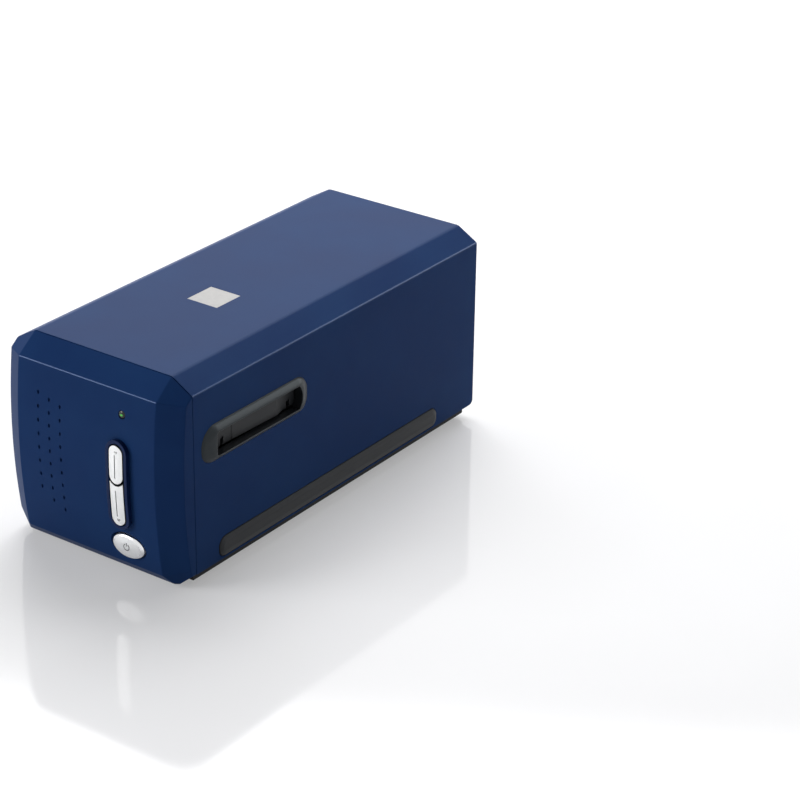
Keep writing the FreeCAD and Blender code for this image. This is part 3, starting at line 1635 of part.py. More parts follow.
def idler_bracket():
    """A small slide on the plate that carries the idler's stud, with a lug that the spring pushes."""
    base = chassis_top
    half = idler_base_width / 2
    foot = box(-half, half, idler_y - half, bracket_rear(), base, base + idler_base_thick)
    lug = box(-spring_lug_half, spring_lug_half, bracket_rear() - spring_lug_thick, bracket_rear(), base,
              base + spring_lug_height)
    post = cylinder(stud_radius, Vec(0, idler_y, base), Vec(0, idler_y, wheel_top))
    wide_post = cylinder(stud_radius * 2, Vec(0, idler_y, base), Vec(0, idler_y, gear_high - shaft_gap))
    return fuse_all([foot, lug, post, wide_post])


def bracket_rear():
    return idler_y + idler_base_length - idler_base_width / 2


def spring_stop_y():
    return bracket_rear() + spring_length + 2 * shaft_gap


def idler_pulley():
    return bored(fuse_all(pulley_blocks(0, idler_y, gear_high)), 0, idler_y)


def drive_belt():
    low = belt_low()
    top = low + belt_width
    inner = pulley_radius + shaft_gap
    return belt_loop(inner + belt_thick, low, top).cut(belt_loop(inner, low - overrun, top + overrun))


def belt_loop(radius, z0, z1):
    return plate_xy(corners(-radius, radius, idler_y - radius, drive_y + radius), [radius] * 4, z0, z1)


def belt_spring():
    """A sleeve in the place of the coil between the bracket's lug and the plate's lug."""
    start = Vec(0, bracket_rear() + shaft_gap, chassis_top + spring_radius + spring_wire + seat_gap)
    outer = spring_radius + spring_wire
    return tube(outer, spring_radius - spring_wire, start, start + ALONG_Y * spring_length)


# Home sensor and ribbon cable

def home_sensor():
    """A fork that the carriage's flag passes through."""
    flag_x = -carriage_half_width + flag_width * 1.5
    half = sensor_slot / 2 + sensor_arm
    y0 = carriage_front + flag_length / 2 - sensor_depth / 2
    base = chassis_top
    top = base + sensor_height
    body = box(flag_x - half, flag_x + half, y0, y0 + sensor_depth, base, top)
    slot = box(flag_x - sensor_slot / 2, flag_x + sensor_slot / 2, y0 - overrun, y0 + sensor_depth + overrun,
               carriage_floor_z - flag_drop - sensor_clearance, top + overrun)
    return body.cut(slot)


def ribbon_path(points, bend):
    """A thin strip's centre line: straight runs joined by tangent arcs."""
    edges = []
    start = points[0]
    for before, corner, after in zip(points, points[1:], points[2:]):
        arc_in, arc_mid, arc_out = corner_arc(before, corner, after, bend)
        edges.append(Part.LineSegment(start, arc_in).toShape())
        edges.append(Part.Arc(arc_in, arc_mid, arc_out).toShape())
        start = arc_out
    edges.append(Part.LineSegment(start, points[-1]).toShape())
    return Part.Wire(edges)


def button_ribbon():
    """A flat cable from the button board, over the tray's front wall, along its ribs and onto the main board."""
    rest_z = tray_bottom + tray_floor + tray_rib_height + ribbon_thick
    end_z = board_top + ribbon_thick
    drop_y = seam_y + tray_front_margin + tray_wall + ribbon_margin
    rise_y = main_board_front - ribbon_margin
    points = [Vec(0, board_front + board_thick, ribbon_start_z), Vec(0, drop_y, ribbon_start_z),
              Vec(0, drop_y, rest_z), Vec(0, rise_y, rest_z), Vec(0, rise_y, end_z),
              Vec(0, main_board_front + ribbon_margin, end_z)]
    path = ribbon_path(points, ribbon_bend)
    band = path.makeOffset2D(ribbon_thick, 0, True, True, False)
    solid = band.extrude(ALONG_X * ribbon_width)
    solid.translate(ALONG_X * (ribbon_x - ribbon_width / 2))
    return solid


names = {
    "housing_cover": housing_cover,
    "front_bezel": front_bezel,
    "rear_panel": rear_panel,
    "base_tray": base_tray,
    "rubber_feet": rubber_feet,
    "top_sticker": top_sticker,
    "upper_scan_button": upper_scan_button,
    "lower_scan_button": lower_scan_button,
    "power_button": power_button,
    "status_lamp": status_lamp,
    "button_board": button_board,
    "button_switches": button_switches,
    "upper_switch_plunger": lambda: switch_plunger(*switch_places()[0]),
    "lower_switch_plunger": lambda: switch_plunger(*switch_places()[1]),
    "power_switch_plunger": lambda: switch_plunger(*switch_places()[2]),
    "slot_trim_right": slot_trim,
    "slot_trim_left": lambda: mirror_x(slot_trim()),
    "dust_door_right": dust_door,
    "dust_door_left": lambda: mirror_x(dust_door()),
    "door_pin_right": door_pin,
    "door_pin_left": lambda: mirror_x(door_pin()),
    "door_spring_right": door_spring,
    "door_spring_left": lambda: mirror_x(door_spring()),
    "side_strip_right": side_strip,
    "side_strip_left": lambda: mirror_x(side_strip()),
    "lower_film_guide": lower_film_guide,
    "upper_film_guide": upper_film_guide,
    "lamp_box": lamp_box,
    "lamp_diffuser": lamp_diffuser,
    "lamp_board": lamp_board,
    "chassis_plate": chassis_plate,
    "guide_rod_left": lambda: guide_rod(-rod_x),
    "guide_rod_right": lambda: guide_rod(rod_x),
    "scan_carriage": scan_carriage,
    "carriage_bushes": carriage_bushes,
    "fold_mirror": fold_mirror,
    "lens_barrel": lens_barrel,
    "lens_glass": lens_glass,
    "sensor_board": sensor_board,
    "stepper_motor": stepper_motor,
    "motor_pinion": motor_pinion,
    "drive_gear": drive_gear,
    "drive_stud": drive_stud,
    "drive_belt": drive_belt,
    "idler_pulley": idler_pulley,
    "idler_bracket": idler_bracket,
    "belt_spring": belt_spring,
    "home_sensor": home_sensor,
    "main_board": main_board,
    "button_ribbon": button_ribbon,
    "board_parts": board_parts,
    "usb_socket": usb_socket,
    "power_jack": power_jack,
    "cover_screws": cover_screws,
    "chassis_screws": chassis_screws,
    "main_board_screws": main_board_screws,
    "button_board_screws": button_board_screws,
}

os.makedirs("parts", exist_ok=True)
for name, make in names.items():
    shape = make()
    shape.exportStep("parts/" + name + ".step")
    print(name, len(shape.Solids), round(shape.Volume), shape.isValid())
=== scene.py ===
# %% [markdown]
# A desktop scanner for 35 mm film: a long navy box with a faceted, bowed front.
# The frame already holds every solid in its place, so each visible piece is modelled again on the same sizes,
# with the roundings, crowns and finishes that catch the light, and it then stands for its solid.

import math

import bmesh
import bpy
from mathutils import Matrix, Vector


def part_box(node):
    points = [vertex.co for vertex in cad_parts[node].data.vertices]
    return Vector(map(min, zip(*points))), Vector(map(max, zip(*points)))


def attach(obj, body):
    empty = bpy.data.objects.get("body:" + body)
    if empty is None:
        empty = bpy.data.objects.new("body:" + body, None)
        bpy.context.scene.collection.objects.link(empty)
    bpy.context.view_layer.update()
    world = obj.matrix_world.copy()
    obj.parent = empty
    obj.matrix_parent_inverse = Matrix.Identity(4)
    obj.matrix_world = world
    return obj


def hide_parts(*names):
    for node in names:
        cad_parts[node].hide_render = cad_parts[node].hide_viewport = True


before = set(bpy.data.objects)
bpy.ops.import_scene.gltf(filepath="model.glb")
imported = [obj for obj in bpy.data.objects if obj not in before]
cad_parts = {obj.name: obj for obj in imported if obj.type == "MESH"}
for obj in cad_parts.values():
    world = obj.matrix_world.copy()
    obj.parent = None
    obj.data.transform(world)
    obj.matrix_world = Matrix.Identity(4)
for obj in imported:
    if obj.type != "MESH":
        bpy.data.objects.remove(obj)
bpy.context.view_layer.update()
MM = 0.001

# %% [markdown]
# Small tools first. Pieces are shaped in millimetres, like the drawing, and become metres when they are
# finished. A flat outline starts as a few corners. Bevelling a corner vertex rounds it, and extruding the
# face gives a plate.

# %% Outlines and plates
PLANES = {"yz": (1, 2, 0), "xz": (0, 2, 1), "xy": (0, 1, 2)}


def spot(plane, across, up, depth):
    place = [0.0, 0.0, 0.0]
    for axis, value in zip(PLANES[plane], (across, up, depth)):
        place[axis] = value
    return Vector(place)


def outline(plane, points, radii, depth, segments=8, bm=None):
    """A flat face whose corners are rounded one by one."""
    bm = bm or bmesh.new()
    corners = [bm.verts.new(spot(plane, a, b, depth)) for a, b in points]
    bm.faces.new(corners)
    for corner, radius in zip(corners, radii):
        if radius:
            bmesh.ops.bevel(bm, geom=[corner], offset=radius, offset_type="OFFSET", affect="VERTICES",
                            segments=segments, profile=0.5, material=-1)
    return bm


def push(bm, faces, along, keep=False):
    """Extrudes faces by a vector and returns the moved ones. The faces left behind go, unless kept."""
    edges = {edge for face in faces for edge in face.edges}
    made = bmesh.ops.extrude_face_region(bm, geom=list(faces) + list(edges), use_keep_orig=keep)["geom"]
    bmesh.ops.translate(bm, vec=along, verts=[v for v in made if isinstance(v, bmesh.types.BMVert)])
    return [f for f in made if isinstance(f, bmesh.types.BMFace)]


def plate(plane, points, radii, start, end, segments=8):
    bm = outline(plane, points, radii, start, segments)
    push(bm, bm.faces[:], spot(plane, 0, 0, end - start), keep=True)
    bmesh.ops.recalc_face_normals(bm, faces=bm.faces[:])
    return bm


def rectangle(a0, a1, b0, b1):
    return [(a0, b0), (a1, b0), (a1, b1), (a0, b1)]


def block(x0, x1, y0, y1, z0, z1):
    return plate("xy", rectangle(x0, x1, y0, y1), [0] * 4, z0, z1)


# %% [markdown]
# Edges are chosen by what they are: how sharply their faces meet, and where they lie.
# A bevel with a round profile then gives them the small radius that a mould leaves.

# %% Edges, slices and Booleans
def sharp_edges(bm, angle=30, wanted=lambda middle: True):
    chosen = []
    for edge in bm.edges:
        if len(edge.link_faces) == 2 and edge.calc_face_angle(0) > math.radians(angle):
            if wanted((edge.verts[0].co + edge.verts[1].co) / 2):
                chosen.append(edge)
    return chosen


def soften(bm, edges, radius, segments=3, finish_index=0):
    """Rounds edges. The new faces may take another of the piece's finishes."""
    made = bmesh.ops.bevel(bm, geom=edges, offset=radius, offset_type="OFFSET", affect="EDGES",
                           segments=segments, profile=0.5, material=-1, clamp_overlap=True, loop_slide=True)
    for face in made["faces"] if finish_index else []:
        face.material_index = finish_index


def slice_rows(bm, axis, low, high, rows):
    """Cuts the piece into rows without parting it, so that a flat face can be bent."""
    normal = Vector([1.0 if i == axis else 0.0 for i in range(3)])
    for row in range(1, rows):
        at = low + (high - low) * row / rows
        bmesh.ops.bisect_plane(bm, geom=bm.verts[:] + bm.edges[:] + bm.faces[:], dist=1e-5,
                               plane_co=normal * at, plane_no=normal)


def to_object(bm, name):
    mesh = bpy.data.meshes.new(name)
    bm.to_mesh(mesh)
    bm.free()
    obj = bpy.data.objects.new(name, mesh)
    bpy.context.collection.objects.link(obj)
    return obj


def boolean(bm, tools, operation="DIFFERENCE"):
    """Cuts or joins bmeshes with the exact Boolean and gives the result back as one bmesh."""
    base = to_object(bm, "base")
    helpers = [to_object(tool, "tool") for tool in tools]
    for helper in helpers:
        cut = base.modifiers.new("cut", "BOOLEAN")
        cut.object = helper
        cut.operation = operation
        cut.solver = "EXACT"
    result = bmesh.new()
    result.from_object(base, bpy.context.evaluated_depsgraph_get())
    for obj in [base] + helpers:
        mesh = obj.data
        bpy.data.objects.remove(obj)
        bpy.data.meshes.remove(mesh)
    bmesh.ops.remove_doubles(result, verts=result.verts[:], dist=1e-4)
    return result


def report(title, bm):
    """Prints whether a bmesh is closed, and its volume, which shows at once when a cut went wrong."""
    open_edges = [e for e in bm.edges if len(e.link_faces) != 2]
    print(title, len(bm.faces), "faces,", len(open_edges), "open edges,", round(bm.calc_volume(signed=True)),
          "mm3")


def mirrored(bm):
    """A copy on the other side of the body, with its faces turned the right way again."""
    twin = bm.copy()
    bmesh.ops.scale(twin, vec=(-1, 1, 1), verts=twin.verts[:])
    bmesh.ops.reverse_faces(twin, faces=twin.faces[:])
    return twin


# %% [markdown]
# Every colour is written as a hex value, as it looks on a screen, and one function turns it to linear light.
# One small function adds a node with its settings and its links, so a finish reads from top to bottom.

# %% Colours and nodes
def colour(text):
    values = [int(text[i:i + 2], 16) / 255 for i in (1, 3, 5)]
    linear = [v / 12.92 if v <= 0.04045 else ((v + 0.055) / 1.055) ** 2.4 for v in values]
    return (*linear, 1.0)


def add(tree, kind, settings=None, links=None, **options):
    node = tree.nodes.new(kind)
    for name, value in options.items():
        setattr(node, name, value)
    for socket, value in (settings or {}).items():
        node.inputs[socket].default_value = value
    for socket, source in (links or {}).items():
        tree.links.new(source, node.inputs[socket])
    return node


def per_metre(size_mm):
    """How many pattern cells fit in a metre when one cell is this many millimetres."""
    return 1.0 / (size_mm * MM)


def new_material(name):
    material = bpy.data.materials.new(name)
    material.use_nodes = True
    tree = material.node_tree
    tree.nodes.clear()
    place = add(tree, "ShaderNodeTexCoord").outputs["Object"]
    return material, tree, place


def two_tone(tree, factor, dark, light, low=0.35, high=0.65):
    """A ramp between two close tones of one colour."""
    ramp = add(tree, "ShaderNodeValToRGB", links={"Fac": factor})
    ramp.color_ramp.elements[0].position = low
    ramp.color_ramp.elements[1].position = high
    ramp.color_ramp.elements[0].color = colour(dark)
    ramp.color_ramp.elements[1].color = colour(light)
    return ramp.outputs["Color"]


def close(material, tree, settings, links):
    shader = add(tree, "ShaderNodeBsdfPrincipled", settings, links)
    add(tree, "ShaderNodeOutputMaterial", links={"Surface": shader.outputs["BSDF"]})
    return material


# %% [markdown]
# Moulded ABS has two looks here. A spark-eroded mould gives it a fine even grain that spreads the light, and
# slow changes in gloss and tone keep large faces from looking like paint. The real grain is about 0.1 mm, too
# fine for the picture, so it is drawn about five times coarser and very shallow. Where a mould is polished,
# on edges and on the collar, the same plastic spreads less light, and an edge catches a thin pale blue line.
# The collar is also given a darker navy than the body, and that darker tone is painted shade on its rim.
# The trim round the slots is half glossy, so its upper side catches the light too.

# %% Moulded plastics
def grained_plastic(name, dark, light, rough, grain=0.5, depth=0.012, cloud=45.0, specular=0.5,
                    tint="#ffffff"):
    material, tree, place = new_material(name)
    clouds = add(tree, "ShaderNodeTexNoise", {"Scale": per_metre(cloud), "Detail": 3.0}, {"Vector": place})
    tone = two_tone(tree, clouds.outputs["Fac"], dark, light)
    gloss = add(tree, "ShaderNodeMapRange", {"To Min": rough - 0.035, "To Max": rough + 0.035},
                {"Value": clouds.outputs["Fac"]})
    cells = add(tree, "ShaderNodeTexNoise", {"Scale": per_metre(grain), "Detail": 2.0, "Roughness": 0.6},
                {"Vector": place})
    bump = add(tree, "ShaderNodeBump", {"Strength": 0.35, "Distance": depth * MM},
               {"Height": cells.outputs["Fac"]})
    return close(material, tree, {"IOR": 1.53, "Specular IOR Level": specular, "Specular Tint": colour(tint)},
                 {"Base Color": tone, "Roughness": gloss.outputs["Result"], "Normal": bump.outputs["Normal"]})


navy_abs = grained_plastic("navy_grained_abs", "#17325f", "#1a3764", 0.42, specular=0.03)
# The collar's finish is the same plastic with more gloss, and its darker navy is painted shade.
navy_collar_shade = grained_plastic("navy_collar_gloss_and_shade", "#0b2048", "#0d244f", 0.3, depth=0.002, specular=0.1)
navy_edge = grained_plastic("navy_smooth_moulded_edge", "#17325f", "#1a3764", 0.26, depth=0.002, specular=0.5,
                            tint="#a9c4f5")
charcoal_abs = grained_plastic("charcoal_grained_abs", "#26282b", "#2b2d30", 0.42, specular=0.2)
trim_abs = grained_plastic("charcoal_semi_gloss_abs", "#181a1d", "#1d1f22", 0.36, specular=0.33,
                           tint="#dcebf2")
base_abs = grained_plastic("black_grained_abs", "#0d0e10", "#121316", 0.55, grain=0.7, specular=0.2)
matt_black_abs = grained_plastic("light_trap_black_abs", "#08080a", "#0d0d0f", 0.75, grain=0.6)
foot_rubber = grained_plastic("moulded_foot_rubber", "#0b0b0c", "#121213", 0.85, grain=0.8, depth=0.03)
socket_black = grained_plastic("socket_black_nylon", "#0c0c0d", "#111113", 0.5, grain=0.6)
milky_acrylic = grained_plastic("milky_acrylic", "#e6e5e0", "#eeede9", 0.35, grain=1.0, depth=0.004)
gear_nylon = grained_plastic("natural_nylon", "#dcd8c8", "#e4e1d3", 0.45, grain=0.8, depth=0.008)
belt_rubber = grained_plastic("moulded_belt_rubber", "#101010", "#171717", 0.8, grain=0.6, depth=0.02)
chip_black = grained_plastic("moulded_chip_packages", "#121214", "#18181b", 0.6, grain=0.4, depth=0.01)

# %% [markdown]
# Metals keep the default IOR. What tells them apart is the colour, the gloss and the marks of how they were
# made: zinc crystals on plated sheet, and fine turned lines on rods and bushes. The buttons wear a silver
# lacquer, which is a finish between paint and metal: fine flakes in a clear coat mirror the room softly and
# keep the face pale.

# %% Metals
def worked_metal(name, dark, light, rough, grain, stretch=(1, 1, 1), depth=0.004, metallic=1.0):
    material, tree, place = new_material(name)
    drawn = add(tree, "ShaderNodeMapping", {"Scale": stretch}, {"Vector": place})
    lines = add(tree, "ShaderNodeTexNoise", {"Scale": per_metre(grain), "Detail": 4.0, "Roughness": 0.65},
                {"Vector": drawn.outputs["Vector"]})
    tone = two_tone(tree, lines.outputs["Fac"], dark, light)
    gloss = add(tree, "ShaderNodeMapRange", {"To Min": rough - 0.05, "To Max": rough + 0.08},
                {"Value": lines.outputs["Fac"]})
    bump = add(tree, "ShaderNodeBump", {"Strength": 0.3, "Distance": depth * MM},
               {"Height": lines.outputs["Fac"]})
    return close(material, tree, {"Metallic": metallic},
                 {"Base Color": tone, "Roughness": gloss.outputs["Result"], "Normal": bump.outputs["Normal"]})


button_lacquer = worked_metal("pale_silver_lacquer", "#eeefef", "#f2f3f3", 0.34, 1.2, depth=0.002,
                              metallic=0.65)
power_lacquer = worked_metal("satin_silver_lacquer", "#dcddde", "#e2e3e4", 0.36, 0.8, metallic=0.7)
bright_chrome = worked_metal("bright_chrome_plate", "#dedfe1", "#e6e7e9", 0.10, 6.0, depth=0.001)
zinc_sheet = worked_metal("zinc_plated_sheet", "#8f9296", "#a7aaae", 0.38, 4.0)
ground_steel = worked_metal("ground_steel_rod", "#a9abae", "#b8babd", 0.22, 0.6, stretch=(4, 0.4, 4))
drawn_can = worked_metal("drawn_aluminium_can", "#8d8f93", "#9c9ea2", 0.35, 1.5, stretch=(1, 1, 6))
black_anodised = worked_metal("black_anodised_aluminium", "#17181a", "#1f2022", 0.35, 0.8, stretch=(1, 6, 1))
turned_brass = worked_metal("turned_brass", "#a98547", "#b99553", 0.28, 0.6, stretch=(6, 1, 1))
plated_shell = worked_metal("plated_socket_shell", "#a4a6a9", "#b3b5b8", 0.3, 1.2)

# %% [markdown]
# A circuit board is glass cloth under green solder resist. Copper tracks raise the resist and show through it
# as paler bands, drawn by a brick pattern of about 2.5 mm, with the weave as a fine bump.

# %% Boards, glass, mirror, ribbon
def circuit_board(name):
    material, tree, place = new_material(name)
    tracks = add(tree, "ShaderNodeTexBrick",
                 {"Scale": per_metre(7.0), "Mortar Size": 0.03, "Brick Width": 0.9, "Row Height": 0.22,
                  "Color1": colour("#0e4a2a"), "Color2": colour("#12552f"), "Mortar": colour("#1d6b3f")},
                 {"Vector": place})
    weave = add(tree, "ShaderNodeTexNoise", {"Scale": per_metre(0.8), "Detail": 2.0}, {"Vector": place})
    bump = add(tree, "ShaderNodeBump", {"Strength": 0.3, "Distance": 0.02 * MM},
               {"Height": weave.outputs["Fac"]})
    return close(material, tree, {"IOR": 1.5, "Roughness": 0.3},
                 {"Base Color": tracks.outputs["Color"], "Normal": bump.outputs["Normal"]})


def coated_glass():
    """Lens glass: clear, with a faint blue of its coating that varies slowly across it."""
    material, tree, place = new_material("coated_lens_glass")
    haze = add(tree, "ShaderNodeTexNoise", {"Scale": per_metre(12.0)}, {"Vector": place})
    tone = two_tone(tree, haze.outputs["Fac"], "#cfd8f0", "#dfe4f4")
    return close(material, tree, {"IOR": 1.52, "Roughness": 0.02, "Transmission Weight": 0.9},
                 {"Base Color": tone})


def flat_ribbon():
    """Ribbon cable: grey insulation in ribs, one for each conductor, 1 mm apart across the cable."""
    material, tree, place = new_material("ribbed_ribbon_cable")
    ribs = add(tree, "ShaderNodeTexWave", {"Scale": per_metre(1.0) / 20, "Distortion": 0.0},
               {"Vector": place})
    tone = two_tone(tree, ribs.outputs["Fac"], "#9fa1a5", "#b4b6ba")
    bump = add(tree, "ShaderNodeBump", {"Strength": 0.6, "Distance": 0.2 * MM},
               {"Height": ribs.outputs["Fac"]})
    return close(material, tree, {"IOR": 1.5, "Roughness": 0.45},
                 {"Base Color": tone, "Normal": bump.outputs["Normal"]})


def coated_paper():
    """A bare label of coated paper: warm white, smooth, with a slight mottle from the adhesive below."""
    material, tree, place = new_material("coated_label_paper")
    mottle = add(tree, "ShaderNodeTexNoise", {"Scale": per_metre(2.5), "Detail": 5.0}, {"Vector": place})
    tone = two_tone(tree, mottle.outputs["Fac"], "#b6b5b4", "#bcbbba")
    bump = add(tree, "ShaderNodeBump", {"Strength": 0.2, "Distance": 0.02 * MM},
               {"Height": mottle.outputs["Fac"]})
    return close(material, tree, {"IOR": 1.5, "Roughness": 0.5, "Specular IOR Level": 0.12},
                 {"Base Color": tone, "Normal": bump.outputs["Normal"]})


board_green = circuit_board("green_circuit_board")
lens_glass = coated_glass()
mirror_glass = worked_metal("front_silvered_mirror", "#d8dadc", "#dddfe1", 0.08, 30.0, depth=0.0005)
ribbon_grey = flat_ribbon()
label_paper = coated_paper()

# %% [markdown]
# A finished mesh gets smooth shading with true edges kept sharp, and normals weighted by face size, so flat
# faces look flat and only the roundings turn. The object stays at the origin, and its place is in its mesh.

# %% Finish a piece
pieces = {}


def finish(bm, name, materials, body, nodes, angle=32):
    bmesh.ops.remove_doubles(bm, verts=bm.verts[:], dist=1e-4)
    bmesh.ops.dissolve_degenerate(bm, dist=1e-4, edges=bm.edges[:])
    bmesh.ops.recalc_face_normals(bm, faces=bm.faces[:])
    bmesh.ops.scale(bm, vec=(MM, MM, MM), verts=bm.verts[:])
    obj = to_object(bm, name)
    for material in materials:
        obj.data.materials.append(material)
    obj.data.polygons.foreach_set("use_smooth", [True] * len(obj.data.polygons))
    obj.data.set_sharp_from_angle(angle=math.radians(angle))
    weighted = obj.modifiers.new("weighted_normals", "WEIGHTED_NORMAL")
    weighted.keep_sharp = True
    weighted.weight = 100
    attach(obj, body)
    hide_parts(*nodes)
    pieces[name] = obj
    print(name, len(obj.data.polygons), "faces")
    return obj


# %% [markdown]
# The cover is one moulding: a top, two chamfers and two sides, open in front, behind and below. Its outline
# is drawn once with softly rounded knees and pulled through the length. The inner outline is cut out of it,
# which leaves the wall, and then the slots and shallow pockets are cut. Every cutter reaches well beyond what
# it cuts, and pieces of the front start on a flat plane far in front of it. Its main sizes are read from the
# box of its solid.

# %% Sizes of the housing
def box_mm(node):
    """The two corners of a solid's box, in millimetres and to a thousandth."""
    return [[round(value / MM, 3) for value in corner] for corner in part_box(node)]


cover_near, cover_far = box_mm("housing_cover")
seam_y, cover_low = cover_near[1:]
half_width, rear_y, height = cover_far
front_y = -134.5
chamfer_run = 13.3
chamfer_drop = 7.7
cover_wall = 2.4
beyond = 20.0
far_front = -150.0


def house_outline(inset, bottom):
    slope = math.hypot(chamfer_run, chamfer_drop)
    side = half_width - inset
    knee_z = height - chamfer_drop - inset * (slope - chamfer_drop) / chamfer_run
    knee_x = half_width - chamfer_run - inset * (slope - chamfer_run) / chamfer_drop
    return [(-side, bottom), (side, bottom), (side, knee_z), (knee_x, height - inset),
            (-knee_x, height - inset), (-side, knee_z)]


# %% The slot's outline, also used by the trim
slot_front = -102.5
slot_rear = -31.1
slot_low = 72.0
slot_top = 85.6
slot_bulge = 2.6
slot_corner = 1.5


def slot_prism(grow, x0, x1):
    """Straight in front with small corners, gently bowed at the rear."""
    rear = slot_rear - slot_bulge + grow
    bm = outline("yz",
                 [(slot_front - grow, slot_low - grow), (rear, slot_low - grow), (rear, slot_top + grow),
                  (slot_front - grow, slot_top + grow)],
                 [slot_corner + grow, 0, 0, slot_corner + grow], x0)
    bow = [e for e in bm.edges if all(abs(v.co.y - rear) < 1e-4 for v in e.verts)]
    bmesh.ops.subdivide_edges(bm, edges=bow, cuts=11)
    middle = (slot_low + slot_top) / 2
    reach = (slot_top - slot_low) / 2 + grow
    for vert in bm.verts:
        if abs(vert.co.y - rear) < 1e-4:
            vert.co.y += slot_bulge * (1 - ((vert.co.z - middle) / reach) ** 2)
    push(bm, bm.faces[:], Vector((x1 - x0, 0, 0)), keep=True)
    bmesh.ops.recalc_face_normals(bm, faces=bm.faces[:])
    return bm


strip_near, strip_far = box_mm("side_strip_right")
strip_low = strip_near[2]
strip_outer, strip_half_length, strip_high = strip_far
strip_radii = [4.5, 4.5, 5.5, 5.5]


def strip_outline(grow=0.0):
    return rectangle(-strip_half_length - grow, strip_half_length + grow, strip_low - grow, strip_high + grow)


def strip_prism(grow, x0, x1):
    return plate("yz", strip_outline(grow), [r + grow for r in strip_radii], x0, x1)


# %% The cover
top_knee_round, side_knee_round, foot_round, rear_round, seam_round = 1.2, 0.6, 3.0, 0.8, 0.35
neck_clearance, pocket_clearance, label_clearance = 1.3, 0.2, 0.15
pocket_depth = 0.8


def cover_block():
    bm = plate("xz", house_outline(0, cover_low), [0] * 6, seam_y, rear_y)
    knees = sharp_edges(bm, 20, lambda m: abs(m.y - (seam_y + rear_y) / 2) < 1 and m.z > cover_low + 1)
    soften(bm, [e for e in knees if e.verts[0].co.z > height - 1], top_knee_round, 4)
    knees = sharp_edges(bm, 35, lambda m: abs(m.y - (seam_y + rear_y) / 2) < 1 and m.z > cover_low + 1)
    soften(bm, knees, side_knee_round, 4, 1)
    foot = sharp_edges(bm, 30, lambda m: m.y > rear_y - 0.01 and m.z < cover_low + 0.01)
    soften(bm, foot, foot_round, 5)
    soften(bm, sharp_edges(bm, 30, lambda m: m.y > rear_y - 0.01), rear_round, 3)
    soften(bm, sharp_edges(bm, 30, lambda m: m.y < seam_y + 0.01), seam_round, 2)
    return bm


hollow = plate("xz", house_outline(cover_wall, cover_low - beyond), [0] * 6, seam_y - beyond, rear_y + beyond)
neck_hole = slot_prism(neck_clearance, half_width - beyond / 2, half_width + beyond / 2)
pocket = strip_prism(pocket_clearance, half_width - pocket_depth, half_width + beyond / 2)
label_low, label_high = (Vector(corner) for corner in box_mm("top_sticker"))
label_pocket = block(label_low.x - label_clearance, label_high.x + label_clearance,
                     label_low.y - label_clearance, label_high.y + label_clearance, label_low.z, height + 1)
cover = boolean(cover_block(),
                [hollow, neck_hole, mirrored(neck_hole), pocket, mirrored(pocket), label_pocket])
finish(cover, "cover_shell", [navy_abs, navy_edge], "housing", ["housing_cover"])

# %% [markdown]
# The front bezel carries the character of the object. Its face bows gently from bottom to top, and flat
# facets trim it all round. The bow is a vertex spun round a far axis; pulling that section across gives the
# face, and pulling both ends slantwise gives the side facets. Planes then cut the top, the corners and the
# foot.

# %% The bowed and faceted block
bow_radius = 340.0
bow_height = 61.5
face_half = 47.0
face_top = 108.9
side_depth = 8.2
low_top = 8.4
bezel_low = box_mm("front_bezel")[0][2]
bezel_wall = 2.5
seam_gap = 0.4
bow_steps = 36
bezel_round = 0.9
foot_lean, foot_rise, foot_tuck, corner_tuck = 5.0, 2.0, 7.0, 9.0


def bow_y(z, inset=0.0):
    return front_y + bow_radius - math.sqrt((bow_radius - inset) ** 2 - (z - bow_height) ** 2)


def bow_rows(bm, x, inset, low, high, rows):
    """Spins one vertex about the bow's axis, from the foot of the face to its head."""
    first = bm.verts.new((x, bow_y(low, inset), low))
    reach = bow_radius - inset
    turn = math.asin((high - bow_height) / reach) + math.asin((bow_height - low) / reach)
    bmesh.ops.spin(bm, geom=[first], cent=(x, front_y + bow_radius, bow_height), axis=(1, 0, 0), angle=-turn,
                   steps=rows, use_merge=False, use_duplicate=False)
    return sorted(bm.verts, key=lambda v: v.co.z)


def trim_plane(bm, point, outward):
    """Cuts off what lies outside a plane and closes the cut."""
    bmesh.ops.bisect_plane(bm, geom=bm.verts[:] + bm.edges[:] + bm.faces[:], dist=1e-4, plane_co=point,
                           plane_no=outward, clear_outer=True)
    bmesh.ops.holes_fill(bm, edges=[e for e in bm.edges if e.is_boundary], sides=0)


def trim_beyond(bm, points, inset=0.0):
    """Trims along the plane through three points, moved inwards by the inset."""
    first, second, third = (Vector(p) for p in points)
    outward = (second - first).cross(third - first).normalized()
    if outward.dot(Vector((0, 0, height / 2)) - first) > 0:
        outward = -outward
    trim_plane(bm, first - outward * inset, outward)


def facet_points():
    top_y = bow_y(face_top)
    foot_y = bow_y(low_top)
    face_corner = (face_half, top_y, face_top)
    face_foot = (face_half, foot_y, low_top)
    roof_edge = (half_width - chamfer_run, seam_y, height)
    middle = [(roof_edge, face_corner, (-face_half, top_y, face_top)),
              (face_foot, (-face_half, foot_y, low_top), (0, foot_y + foot_lean, bezel_low))]
    side_foot = (half_width, seam_y, low_top)
    sides = [(roof_edge, (half_width, seam_y, height - chamfer_drop), face_corner),
             (side_foot, (half_width, front_y, low_top), (half_width - foot_tuck, seam_y, bezel_low)),
             (face_foot, (half_width, foot_y + side_depth, low_top + foot_rise),
              (half_width - corner_tuck, foot_y + foot_lean, bezel_low))]
    return middle, sides


